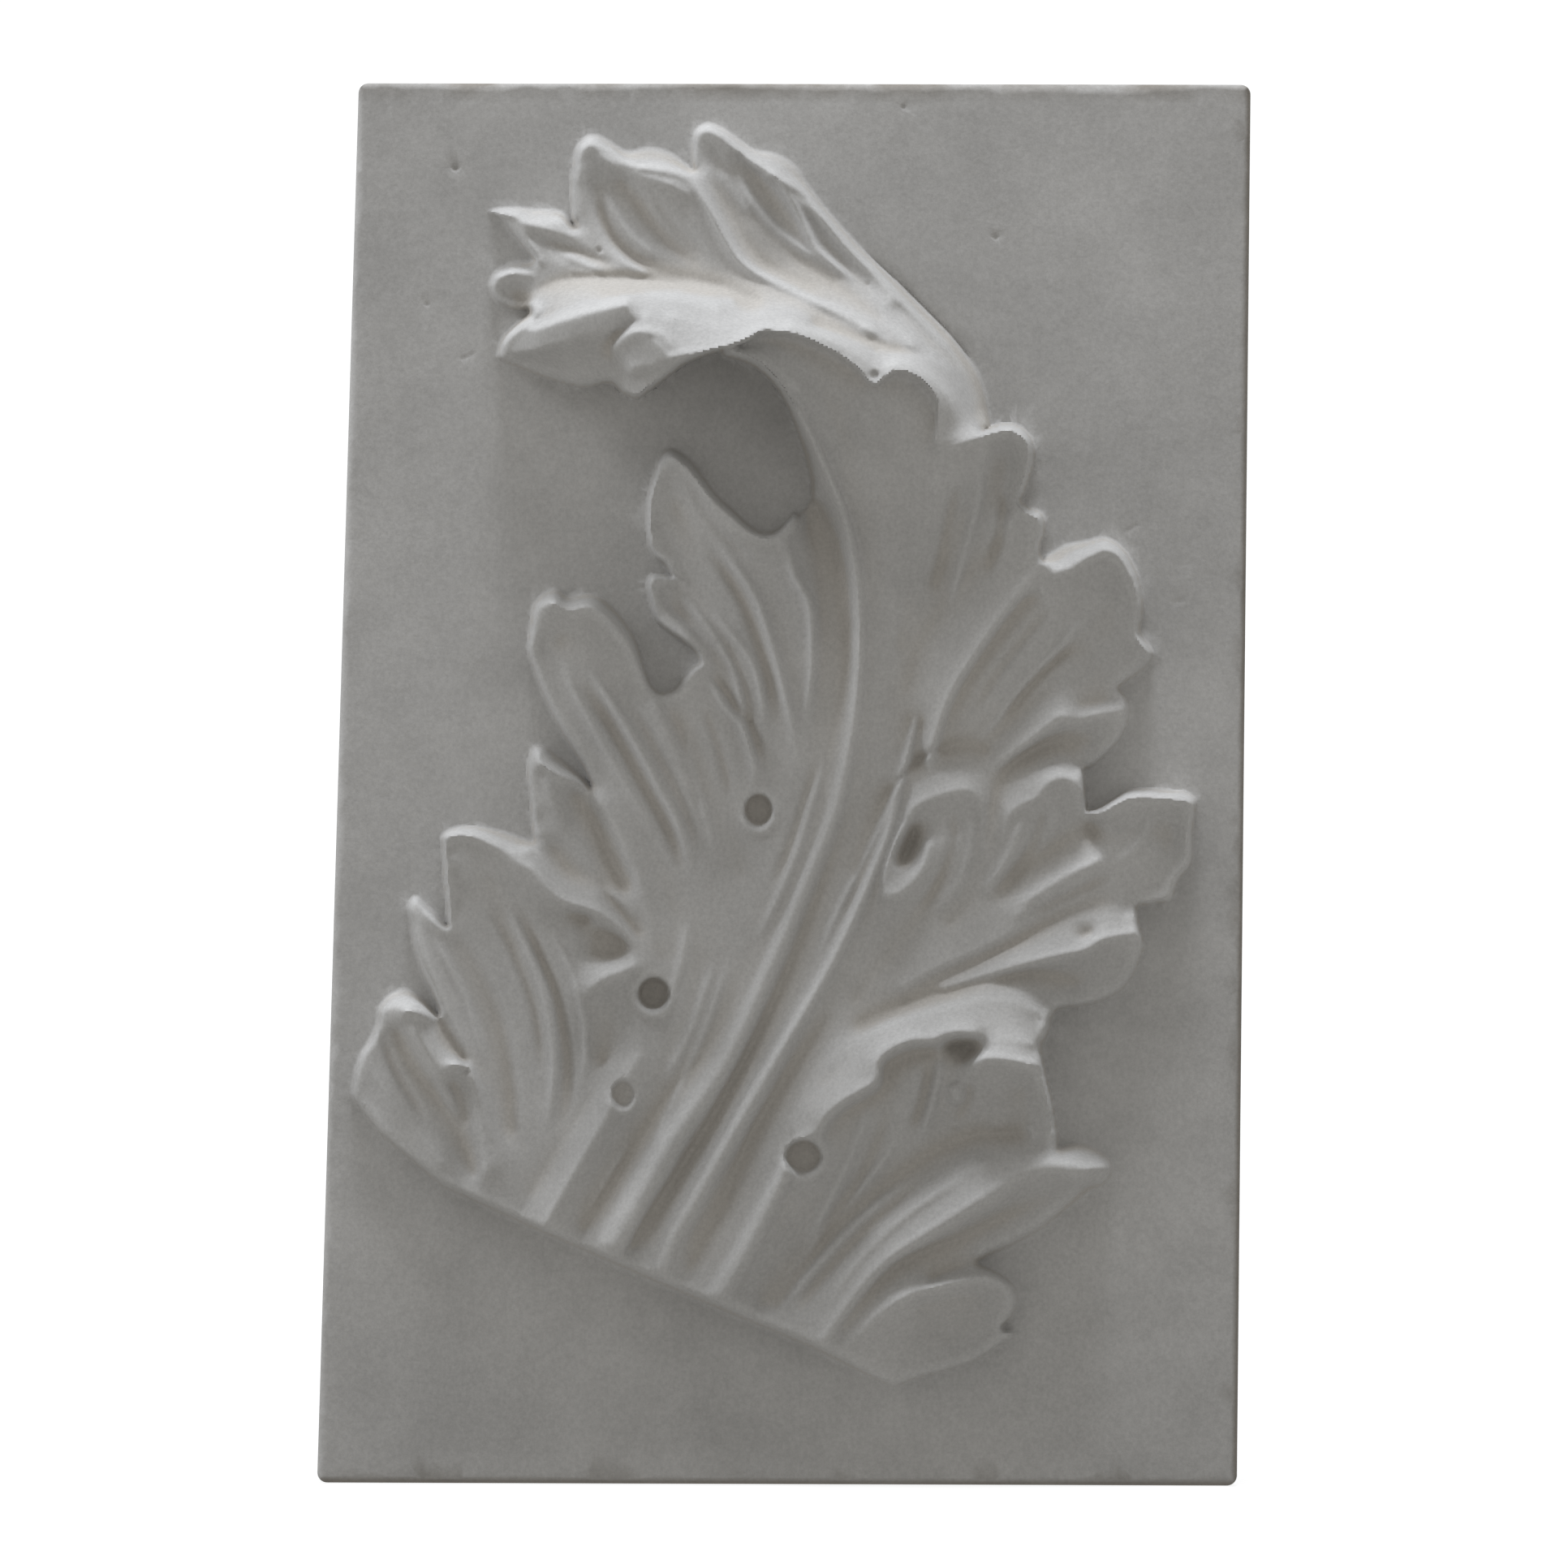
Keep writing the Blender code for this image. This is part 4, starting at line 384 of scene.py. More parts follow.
        (1246, 1453, 18.8), (1228, 1465, 20), (1206, 1479, 21), (1178, 1497, 20.4), (1135, 1524, 18.2),
        (1095, 1551, 16), (1052, 1598, 14), (1012, 1656, 13.2)),
    "long low lobe valley": ((1330, 1470, 8.6), (1290, 1482, 8.4), (1236, 1500, 8.6), (1180, 1526, 9.6),
        (1136, 1542, 10.4), (1102, 1560, 10.8), (1064, 1602, 11.2), (1022, 1656, 11.4)),
    "lowest right tip crest": ((1136, 1589, 16), (1114, 1599, 16), (1079, 1624, 13.6), (1043, 1665, 11.6)),
    "inner lobe right rim": ((964, 662, 10), (974, 695, 10), (986, 722, 10.5), (1000, 745, 10.5),
        (1002, 800, 10.5), (1001, 850, 10.5), (991, 905, 10.5), (976, 955, 10.5), (962, 1010, 10)),
    "inner lobe axis": ((830, 620, 7), (856, 680, 7.4), (885, 740, 8.2), (910, 800, 8.8), (932, 860, 9.2),
        (946, 920, 9.6)),
    "small inner lobe axis": ((857, 850, 9.5), (870, 900, 9.5), (888, 950, 9.5), (905, 1010, 9.5),
        (912, 1080, 9.5)),
    "upper left lobe right rim": ((806, 862, 11), (821, 900, 11.4), (838, 935, 11.4), (848, 965, 11.4),
        (855, 1000, 11.4), (864, 1050, 11.2), (871, 1110, 10.8), (869, 1190, 10.4)),
    "upper left lobe axis": ((690, 785, 10), (712, 850, 10), (741, 920, 10.4), (776, 985, 10.6),
        (812, 1055, 10.6), (834, 1130, 10.4)),
    "upper left lobe left edge": ((736, 985, 10), (750, 1006, 11), (768, 1040, 11.6), (786, 1080, 11.6),
        (800, 1130, 11.2), (816, 1185, 10.6)),
    "back lobe face": ((706, 975, 6.4), (730, 1010, 5.2), (752, 1055, 5.2), (772, 1095, 6)),
    "back lobe left": ((668, 945, 9.4), (680, 985, 9.2), (700, 1030, 8.4), (730, 1076, 8.2),
        (764, 1120, 8.6), (790, 1155, 9.4)),
    "middle left lobe crest": ((624, 1052, 13.8), (640, 1064, 15), (656, 1070, 15.6), (668, 1086, 16),
        (680, 1099, 16), (696, 1111, 16), (714, 1118, 15.8), (736, 1124, 15.2), (754, 1135, 14.2),
        (770, 1151, 13.2), (781, 1166, 12.2)),
    "middle left lobe foot": ((664, 1022, 8.4), (684, 1048, 7.8), (702, 1072, 8.2), (730, 1090, 9.2),
        (758, 1106, 10), (784, 1132, 10.4)),
    "left notch pocket": ((735, 1150, 8), (752, 1154, 7.3), (768, 1164, 7.3), (752, 1175, 7.5),
        (734, 1172, 8.2)),
    "middle left lobe below": ((700, 1125, 12), (725, 1133, 8)),
    "left notch crest": ((717, 1238, 12), (730, 1217, 15), (750, 1204, 16.5), (768, 1198, 16.4),
        (786, 1189, 15)),
    "left notch face": ((752, 1228, 13), (750, 1268, 10.5), (742, 1310, 9)),
    "left notch right": ((784, 1200, 12.5), (784, 1225, 11.5), (788, 1260, 12), (790, 1295, 12.5)),
    "middle left lobe axis": ((566, 1120, 8), (584, 1156, 8.2), (602, 1190, 8.4), (620, 1228, 8.6),
        (632, 1265, 8.8), (640, 1310, 9.2), (644, 1355, 9.6), (640, 1415, 10.4)),
    "left spear right": ((564, 1158, 7), (583, 1190, 6.8), (601, 1228, 6.6), (614, 1265, 6.6),
        (624, 1310, 6.8), (629, 1355, 7.2), (630, 1400, 8.6)),
    "left spear face": ((527, 1184, 7.4), (538, 1214, 7.8), (553, 1250, 8.2), (573, 1290, 9),
        (593, 1340, 10), (606, 1392, 11), (612, 1440, 12)),
    "lowest left lobe axis": ((486, 1268, 5.8), (497, 1290, 5.2), (514, 1322, 5), (536, 1350, 5.2),
        (558, 1384, 6.2), (574, 1412, 6.8), (586, 1450, 8)),
    "lowest left foot": ((450, 1308, 4.2), (478, 1346, 6), (513, 1392, 7.6), (550, 1436, 9.6)),
}

# Leaf crests with a round back: half width at the start, at the end, and how far the back falls
LEAF_ROUNDED = {
    "rib": (15, 4, 1.8),
    "ridge c": (15, 6, 2.4),
    "ridge d": (20, 10, 2.6),
    "fourth fold crest": (4, 6, 0.8),
    "long low lobe crest": (8, 8, 0.9),
    "right lower tip crest": (5, 5, 0.7),
    "first fold top": (5, 5, 0.7),
    "second fold crest": (5, 5, 0.7),
    "fold crest": (4, 4, 0.5),
    "upper right ridge": (5, 5, 0.6),
    "left notch crest": (4, 4, 0.5),
}

# Fine ridges and grooves on the lobes: half width, rise, points
LEAF_VEINS = (
    (6, 0.9, ((848, 1130), (842, 1180), (826, 1230), (812, 1270))),
    (6, 1, ((882, 1180), (860, 1250), (838, 1300), (815, 1345))),
    (4, 1, ((806, 720), (812, 745), (832, 768), (852, 785), (868, 800))),
    (4, 1.3, ((735, 745), (752, 756), (768, 774), (781, 796), (791, 824))),
    (4, 1.4, ((838, 566), (856, 584), (874, 606), (896, 628), (920, 650), (942, 664), (958, 664),
        (968, 654))),
    (4, 1.2, ((950, 456), (970, 485), (987, 515), (1005, 550), (1021, 586), (1037, 628), (1049, 676),
        (1056, 730), (1059, 790), (1056, 850), (1046, 910))),
    (5, 1.5, ((880, 660), (900, 690), (918, 715), (933, 740), (947, 780), (959, 820), (969, 860),
        (978, 900), (982, 935))),
    (6, -1.4, ((868, 672), (893, 705), (915, 742), (930, 780), (943, 820), (952, 860), (958, 900))),
    (4, 1.1, ((827, 722), (850, 745), (878, 780), (903, 822), (913, 860), (919, 900), (924, 940))),
    (4, -0.9, ((822, 738), (845, 762), (870, 795), (890, 830))),
    (4, 1, ((868, 745), (900, 780), (930, 822), (939, 860), (944, 905))),
    (4, -1, ((880, 775), (905, 815), (921, 860), (926, 910))),
    (5, -0.8, ((848, 590), (870, 630), (900, 668), (930, 692))),
    (4, 1.2, ((958, 655), (972, 685), (980, 712), (996, 742), (1001, 800), (998, 850), (988, 900))),
    (5, 1.8, ((862, 826), (882, 852), (896, 875), (912, 893), (923, 918), (930, 948), (930, 978))),
    (5, -1.3, ((872, 822), (892, 848), (907, 870), (922, 888), (933, 915), (940, 950))),
    (5, -0.9, ((862, 862), (880, 905), (893, 950), (902, 990))),
    (4, 0.9, ((846, 890), (851, 930), (860, 970), (874, 1020), (882, 1075))),
    (5, 1.6, ((722, 818), (742, 850), (762, 880), (780, 910), (797, 940), (815, 975), (834, 1010),
        (847, 1045), (856, 1082))),
    (7, -1.7, ((714, 834), (730, 860), (746, 884), (763, 913), (779, 942), (798, 976), (817, 1010),
        (833, 1046), (845, 1086))),
    (6, -0.9, ((770, 862), (790, 888), (814, 935), (832, 970), (848, 1008), (862, 1070))),
    (4, 0.7, ((690, 800), (705, 845), (728, 890), (756, 940), (785, 990), (812, 1040))),
    (5, 1.3, ((618, 1108), (638, 1145), (656, 1182), (670, 1220), (679, 1260), (683, 1300), (682, 1340),
        (674, 1400))),
    (6, -1.5, ((634, 1108), (652, 1145), (668, 1182), (684, 1220), (693, 1260), (699, 1300), (699, 1345),
        (690, 1400))),
    (4, 1, ((672, 1140), (696, 1180), (714, 1228), (721, 1262), (722, 1300), (716, 1350))),
    (5, -0.9, ((600, 1110), (622, 1150), (640, 1190), (656, 1235), (664, 1280), (667, 1330))),
    (4, 0.9, ((532, 1150), (552, 1185), (572, 1225), (588, 1270), (602, 1320))),
    (4, -0.9, ((470, 1266), (480, 1304), (502, 1344), (530, 1388))),
    (4, 1.3, ((1160, 1300), (1155, 1332), (1147, 1364), (1138, 1392), (1132, 1410))),
    (6, -1.3, ((1146, 1304), (1142, 1336), (1133, 1368), (1122, 1398))),
    (8, 2.6, ((1174, 1334), (1178, 1348), (1181, 1362))),
    (5, -0.9, ((1196, 1330), (1192, 1356), (1178, 1384))),
    (6, 0.9, ((1078, 1348), (1062, 1392), (1042, 1440), (1018, 1490), (988, 1545))),
    (6, -1, ((1100, 1352), (1084, 1400), (1062, 1450), (1030, 1500), (996, 1556))),
    (4, 0.8, ((1118, 1380), (1096, 1420), (1060, 1466), (1020, 1512), (975, 1572))),
    (5, 1.1, ((1126, 1448), (1086, 1480), (1040, 1522), (996, 1572), (952, 1632))),
    (5, -1, ((1146, 1446), (1104, 1482), (1058, 1524), (1014, 1574), (972, 1636))),
    (5, 0.7, ((1196, 1446), (1150, 1474), (1100, 1512), (1056, 1556), (1014, 1616))),
    (6, 1, ((1266, 1384), (1274, 1396), (1278, 1406))),
    (5, -1.4, ((1290, 1372), (1294, 1386), (1292, 1398))),
    (5, 1.2, ((1212, 580), (1206, 615), (1196, 655), (1182, 705), (1166, 760))),
    (6, -1.4, ((1238, 600), (1236, 640), (1226, 680), (1210, 715))),
    (6, -1, ((1182, 590), (1172, 630), (1162, 680), (1150, 740))),
    (4, 1.3, ((1337, 764), (1326, 774), (1312, 792), (1296, 808), (1276, 826))),
    (5, -1.3, ((1330, 790), (1310, 806), (1288, 826), (1262, 856), (1232, 894))),
    (4, 0.9, ((1310, 800), (1284, 822), (1256, 852), (1228, 888), (1200, 920))),
    (5, -0.9, ((1300, 742), (1264, 784), (1228, 832), (1196, 884))),
    (4, 1, ((1284, 700), (1285, 722), (1286, 738))),
    (7, -1.2, ((1290, 985), (1282, 1020), (1262, 1060), (1235, 1100))),
    (6, 0.9, ((1262, 1000), (1252, 1035), (1235, 1070), (1205, 1110))),
    (5, -1, ((1172, 992), (1176, 1030), (1160, 1080), (1130, 1130))),
    (5, 0.8, ((1196, 990), (1198, 1030), (1186, 1080), (1150, 1130))),
    (5, 0.9, ((1352, 1060), (1318, 1076), (1282, 1098), (1246, 1122))),
    (5, -1, ((1372, 1074), (1336, 1094), (1298, 1112), (1262, 1132))),
    (4, 0.8, ((1420, 1000), (1404, 1040), (1372, 1066))),
    (4, 0.8, ((1020, 930), (1000, 990), (984, 1045), (962, 1100), (928, 1170))),
    (5, -0.9, ((1010, 930), (990, 990), (972, 1045), (950, 1100))),
    (5, 0.9, ((900, 1180), (872, 1260), (842, 1330), (805, 1400))),
    (4, 0.8, ((780, 1400), (745, 1460), (718, 1510))),
    (4, -0.8, ((905, 1420), (872, 1490), (842, 1550))),
    (4, 0.7, ((1110, 960), (1080, 1030), (1040, 1110), (1000, 1190))),
    (4, -0.7, ((1128, 930), (1100, 1000), (1062, 1080), (1022, 1160))),
    (4, 0.7, ((842, 1420), (806, 1490), (778, 1540))),
)

# Outline of the turned tip, which lies over the leaf's top
TIP_OUTLINE = (
    ("lowest bud", "stands", ((612, 440, 9, 7), (618, 418, 14, 9), (636, 398, 20, 10), (652, 383, 18, 8),
        (650, 381, 7, 3))),
    ("small left bud", "stands", ((652, 383, 7, 3), (640, 384, 5, 5), (616, 376, 4.4, 5), (603, 354, 5, 5),
        (611, 334, 6.4, 11), (634, 323, 8, 16), (658, 322, 7.4, 10))),
    ("left tip lobe", "stands", ((658, 322, 7, 4), (648, 310, 6, 3), (632, 290, 5, 3), (612, 268, 3, 3),
        (600, 262, 2, 3), (620, 256, 5, 12), (660, 257, 7.4, 17), (697, 261, 8, 17), (708, 277, 8, 10))),
    ("middle tip lobe", "stands", ((705, 276, 8, 3), (703, 240, 7, 3), (706, 205, 7, 4), (712, 180, 8, 6),
        (724, 167, 8, 10), (738, 166, 8, 15), (756, 176, 8.8, 20), (775, 186, 9, 22), (796, 181, 9.8, 30),
        (820, 184, 10.8, 32), (840, 195, 11, 26), (854, 208, 10, 12))),
    ("right tip lobe", "stands", ((853, 206, 6, 3), (852, 184, 5, 4), (858, 160, 6, 5), (872, 152, 7, 8),
        (892, 158, 8, 10), (912, 172, 8, 12), (930, 184, 8.4, 17), (955, 188, 8.4, 32), (982, 203, 8.4, 28),
        (1003, 236, 7.8, 18), (1024, 263, 7, 10), (1048, 290, 7, 11), (1082, 322, 7, 12),
        (1114, 350, 7, 14), (1142, 378, 7, 15), (1168, 404, 7, 15), (1190, 430, 7, 15), (1206, 456, 8, 14),
        (1214, 480, 9, 12), (1219, 505, 10, 9), (1222, 528, 14, 3))),
    ("lip", "hangs", ((1205, 535, 30), (1186, 543, 32), (1152, 549, 34), (1152, 522, 36), (1153, 498, 37),
        (1143, 479, 38), (1127, 465, 39), (1106, 459, 40), (1094, 466, 40), (1082, 476, 40),
        (1069, 473, 40), (1058, 459, 41), (1040, 444, 41), (1015, 430, 42), (990, 418, 43), (960, 411, 44),
        (936, 411, 45), (926, 419, 46), (900, 429, 46.5), (870, 438, 46.5), (845, 448, 45), (825, 463, 40),
        (805, 478, 36), (786, 490, 31), (768, 484, 28), (754, 472, 22), (722, 477, 16), (690, 471, 12),
        (660, 461, 9), (632, 450, 6))),
)

# Crests, valleys and feet of the turned tip: (u, v, rise)
TIP_LINES = {
    "middle tip lobe shelf": ((772, 210, 9.2), (800, 220, 11.6), (826, 228, 12.6), (848, 240, 12)),
    "right tip lobe shelf": ((950, 212, 9.8), (974, 236, 9.2), (998, 262, 8.6), (1018, 292, 8.4),
        (1042, 320, 8.8), (1068, 345, 10.4), (1104, 376, 13.6)),
    "small left bud cap": ((612, 344, 7), (632, 337, 9), (655, 338, 9)),
    "left tip lobe lower ridge": ((664, 313, 8.8), (700, 330, 10.4), (745, 346, 13)),
    "right tip lobe valley": ((878, 184, 5.6), (898, 215, 5.8), (920, 252, 6), (948, 290, 7),
        (982, 320, 8.8), (1028, 350, 12), (1082, 390, 18), (1130, 430, 25)),
    "right tip lobe dark": ((908, 188, 4.8), (934, 217, 4.8), (958, 254, 5.4), (980, 284, 7)),
    "middle tip lobe crest": ((846, 214, 9.8), (856, 228, 10.4), (868, 246, 11), (880, 268, 11.2),
        (893, 293, 11.4), (909, 318, 12), (925, 332, 12.8), (946, 344, 14.2), (975, 358, 17),
        (1004, 372, 20.4), (1040, 390, 23.8), (1080, 412, 27)),
    "middle tip lobe crest foot": ((870, 210, 7.4), (890, 244, 7.4), (906, 272, 7.6), (924, 302, 8.2),
        (942, 324, 9.4), (975, 340, 12), (1010, 356, 14.6)),
    "middle tip lobe valley": ((733, 226, 6), (742, 262, 6), (757, 295, 6.8), (783, 322, 8),
        (818, 338, 9.4), (850, 345, 11), (880, 352, 13.4), (905, 361, 16.6), (935, 373, 21)),
    "middle tip lobe mid": ((764, 222, 6), (790, 262, 6.6), (822, 300, 7.8), (862, 330, 10.4)),
    "middle tip lobe left rim": ((716, 205, 8), (717, 235, 7.6), (724, 265, 7.6), (739, 294, 8.4),
        (763, 318, 10), (800, 337, 12)),
    "left tip lobe crest": ((612, 262, 5), (632, 267, 7.4), (652, 275, 9), (672, 282, 9.8), (700, 289, 9.4),
        (714, 292, 8.4)),
    "left tip lobe valley": ((652, 290, 7.4), (672, 298, 7.8), (700, 307, 8.4), (730, 318, 9.4),
        (763, 332, 11.5)),
    "left tip lobe left ridge": ((641, 280, 7.5), (654, 303, 9), (664, 326, 10.5)),
    "small left bud face": ((618, 356, 4), (634, 364, 3.6), (650, 372, 4.2)),
    "roll foot": ((658, 360, 9), (676, 352, 10), (694, 346, 10.6), (720, 343, 11), (756, 344, 11),
        (800, 346, 11), (839, 350, 12.4), (870, 358, 17), (905, 371, 25)),
    "roll shoulder": ((655, 398, 16), (690, 382, 23), (720, 372, 25.6), (760, 366, 26), (800, 365, 26),
        (850, 370, 28), (890, 380, 32.4)),
    "roll top": ((630, 424, 13), (660, 420, 25), (680, 413, 30), (700, 406, 34), (720, 400, 36.4),
        (740, 395, 38.6), (760, 390, 40.2), (780, 385, 41.6)),
    "roll belly": ((636, 440, 9.5), (670, 437, 21), (705, 432, 29), (738, 425, 33)),
    "roll under": ((662, 449, 13.5), (695, 455, 19), (725, 458, 23), (742, 456, 25.5)),
    "nose crease": ((798, 390, 42.2), (780, 397, 40), (764, 410, 36.5), (753, 428, 32.5), (748, 450, 27.5)),
    "nose top": ((752, 432, 35), (764, 420, 40.5), (780, 410, 44.6), (800, 410, 46.6), (814, 423, 48.2),
        (826, 442, 49), (850, 438, 49), (880, 430, 48.6), (905, 424, 48), (925, 415, 47)),
    "nose front": ((778, 454, 38.5), (797, 450, 42.5), (812, 450, 45)),
    "nose under": ((780, 474, 32), (797, 468, 36.5), (816, 458, 41)),
    "nose lap": ((822, 390, 39.6), (846, 396, 39.8), (874, 403, 41.2), (905, 409, 42.8)),
    "lip slope": ((970, 402, 41), (1010, 414, 39.4), (1050, 434, 38.4), (1084, 456, 38.4), (1106, 448, 37),
        (1142, 464, 35.4), (1170, 492, 32.8), (1178, 528, 31.2)),
    "lip slope behind": ((1000, 398, 29), (1045, 412, 28), (1095, 428, 26), (1150, 444, 23.4),
        (1178, 475, 20.6), (1198, 510, 19)),
}

# Tip crests with a round back
TIP_ROUNDED = {
    "roll top": (12, 14, 0.5),
}

# Fine ridges and grooves on the turned tip
TIP_VEINS = (
    (6, 0.9, ((745, 232), (760, 268), (785, 298), (820, 322))),
    (7, -0.9, ((775, 232), (800, 270), (832, 304), (868, 330))),
    (5, 1, ((905, 205), (922, 240), (950, 276), (985, 305), (1030, 335))),
    (5, 2.2, ((840, 208), (852, 222), (866, 243), (880, 268), (893, 293), (909, 318), (926, 333),
        (948, 345), (975, 358), (1004, 372), (1040, 389), (1080, 410))),
    (5, 2, ((900, 168), (937, 203), (957, 218), (977, 229), (993, 240), (1007, 258), (1027, 284),
        (1050, 311), (1077, 338), (1093, 354), (1113, 374), (1137, 398), (1160, 421), (1180, 444),
        (1193, 468), (1203, 492))),
    (5, -1.3, ((1040, 285), (1066, 308), (1092, 333), (1122, 362), (1152, 392), (1178, 420), (1198, 452),
        (1210, 486))),
    (4, 1.7, ((952, 216), (966, 234), (980, 256), (992, 281), (1005, 306), (1022, 322), (1040, 337),
        (1062, 352))),
    (5, -0.6, ((972, 232), (992, 260), (1012, 290), (1036, 322), (1066, 350), (1104, 380))),
    (8, 0.7, ((885, 205), (908, 240), (930, 270))),
    (4, 1.7, ((722, 176), (748, 183), (768, 199), (790, 206), (815, 209), (835, 213), (851, 225))),
    (5, -0.9, ((734, 235), (744, 272), (760, 298), (784, 318), (820, 334))),
    (4, -0.9, ((708, 222), (709, 248), (714, 276))),
    (5, -0.8, ((660, 294), (700, 306), (735, 319), (768, 333))),
    (4, 0.7, ((690, 312), (722, 326), (752, 338))),
    (5, -0.5, ((800, 235), (835, 285), (875, 325))),
    (4, -0.9, ((797, 411), (810, 418), (820, 430), (826, 446))),
    (4, 0.6, ((806, 404), (824, 416), (832, 432))),
    (3, -0.6, ((842, 430), (870, 427), (900, 420), (922, 414))),
    (4, 0.6, ((1060, 398), (1085, 414), (1106, 430))),
)


def ease(x):
    """Smooth step from 0 to 1."""
    x = np.clip(x, 0.0, 1.0)
    return x * x * (3.0 - 2.0 * x)


def smooth_run(points):
    """Curve through the points: u and v turn smoothly, the other columns run straight."""
    points = np.array(points, float)
    ends = np.vstack([2 * points[0] - points[1], points, 2 * points[-1] - points[-2]])
    pieces = []
    t = np.linspace(0, 1, RUN_STEPS, endpoint=False)[:, None]
    for before, start, stop, after in zip(ends[:-3], ends[1:-2], ends[2:-1], ends[3:]):
        span = max(np.hypot(*(stop - start)[:2]), TINY)
        span_before = max(np.hypot(*(start - before)[:2]), TINY)
        span_after = max(np.hypot(*(after - stop)[:2]), TINY)
        leave = ((start - before) / span_before * span + stop - start) / 2
        arrive = (stop - start + (after - stop) / span_after * span) / 2
        piece = (2 * t**3 - 3 * t**2 + 1) * start + (t**3 - 2 * t**2 + t) * leave
        piece += (3 * t**2 - 2 * t**3) * stop + (t**3 - t**2) * arrive
        piece[:, 2:] = (start + (stop - start) * t)[:, 2:]
        pieces.append(piece)
    return np.vstack(pieces + [points[-1:]])


def sideways(run):
    """Unit vectors to the right of a run, seen along it with v down."""
    ahead = np.gradient(run[:, :2], axis=0)
    right = np.stack([-ahead[:, 1], ahead[:, 0]], axis=1)
    return right / np.maximum(np.linalg.norm(right, axis=1, keepdims=True), TINY)


class Sheet:
    """The drawing as a grid: what pulls each cell and how firmly it is held."""

    def __init__(self):
        self.us = np.arange(VIEW_LEFT, VIEW_RIGHT, SHEET_STEP)
        self.vs = np.arange(VIEW_TOP, VIEW_BOTTOM, SHEET_STEP)
        self.u, self.v = np.meshgrid(self.us, self.vs)
        self.pull = np.zeros(self.u.shape)
        self.hold = np.zeros(self.u.shape)

    def cells(self, u, v):
        """Row and column of the cells that hold the points."""
        rows = np.round((v - self.vs[0]) / SHEET_STEP).astype(int)
        columns = np.round((u - self.us[0]) / SHEET_STEP).astype(int)
        return np.clip(rows, 0, len(self.vs) - 1), np.clip(columns, 0, len(self.us) - 1)

    def around(self, run, reach):
        """The part of the grid within reach of a run's box."""
        low, high = run[:, :2].min(axis=0) - reach, run[:, :2].max(axis=0) + reach
        left, right = np.searchsorted(self.us, [low[0], high[0]])
        top, bottom = np.searchsorted(self.vs, [low[1], high[1]])
        return slice(top, bottom), slice(left, right)

    def pin(self, run, easing=0.0, strength=1.0, within=None):
        """Pins the skin along a run; the hold eases off towards both ends."""
        lengths = np.hypot(*np.diff(run[:, :2], axis=0).T)
        marks = np.concatenate([[0], np.cumsum(lengths)])
        along = np.linspace(0, marks[-1], max(2, int(marks[-1] / (SHEET_STEP * PIN_SPACING))))
        u, v, rise = (np.interp(along, marks, run[:, column]) for column in range(3))
        weight = np.full(len(along), strength)
        if easing:
            share = along / marks[-1]
            weight *= ease(share / easing) * ease((1 - share) / easing)
        rows, columns = self.cells(u, v)
        if within is not None:
            weight *= within[rows, columns]
        np.add.at(self.pull, (rows, columns), weight * rise)
        np.add.at(self.hold, (rows, columns), weight)


def depth_inside(sheet, outline):
    """Distance of every cell to the outline, positive inside it."""
    reach = max(HEM, RIM_INSET_MOST, LINE_OVERRUN) + SKIN_START  # no deeper place is asked for
    distance = np.full(sheet.u.shape, reach)
    inside = np.zeros(sheet.u.shape, bool)
    for start, stop in zip(outline, np.roll(outline, -1, axis=0)):
        low, high = min(start[1], stop[1]), max(start[1], stop[1])
        first, last = np.searchsorted(sheet.vs, [low, high])
        if last > first:
            share = (sheet.vs[first:last] - start[1]) / (stop[1] - start[1])
            crossing = start[0] + share * (stop[0] - start[0])
            inside[first:last] ^= sheet.us[None, :] < crossing[:, None]
        near = sheet.around(np.stack([start, stop]), reach)
        ahead = stop - start
        du, dv = sheet.u[near] - start[0], sheet.v[near] - start[1]
        share = np.clip((du * ahead[0] + dv * ahead[1]) / max(ahead @ ahead, TINY), 0, 1)
        gap = np.hypot(du - share * ahead[0], dv - share * ahead[1])
        distance[near] = np.minimum(distance[near], gap)
    return np.where(inside, distance, -distance)


def beside(sheet, near, run):
    """Share along a run and distance to it, for the cells near it."""
    lengths = np.hypot(*np.diff(run, axis=0).T)
    marks = np.concatenate([[0], np.cumsum(lengths)])
    distance = np.full(sheet.u[near].shape, np.inf)
    along = np.zeros(sheet.u[near].shape)
    for start, stop, mark, length in zip(run[:-1], run[1:], marks, lengths):
        ahead = (stop - start) / max(length, TINY)
        du, dv = sheet.u[near] - start[0], sheet.v[near] - start[1]
        step = np.clip(du * ahead[0] + dv * ahead[1], 0, length)
        gap = np.hypot(du - step * ahead[0], dv - step * ahead[1])
        closer = gap < distance
        distance = np.where(closer, gap, distance)
        along = np.where(closer, mark + step, along)
    return along / marks[-1], distance


def shrink(grid):
    """Sums each two by two cells into one."""
    rows, columns = grid.shape
    grid = np.pad(grid, ((0, rows % 2), (0, columns % 2)))
    return grid[0::2, 0::2] + grid[1::2, 0::2] + grid[0::2, 1::2] + grid[1::2, 1::2]


def stretch(pull, hold):
    """Skin stretched between the pinned cells, from coarse to fine."""
    pinned = pull / np.maximum(hold, TINY)
    firmness = np.minimum(hold, 1.0) * HOLD
    if min(pull.shape) > COARSEST_GRID:
        coarse = stretch(shrink(pull), shrink(hold))
        skin = np.repeat(np.repeat(coarse, 2, 0), 2, 1)[:pull.shape[0], :pull.shape[1]]
    else:
        skin = np.full(pull.shape, pull.sum() / max(hold.sum(), TINY))
    for _ in range(SKIN_ROUNDS):
        edged = np.pad(skin, 1, mode="edge")
        around = edged[:-2, 1:-1] + edged[2:, 1:-1] + edged[1:-1, :-2] + edged[1:-1, 2:]
        skin = (around / 4 + firmness * pinned) / (1 + firmness)
    return skin


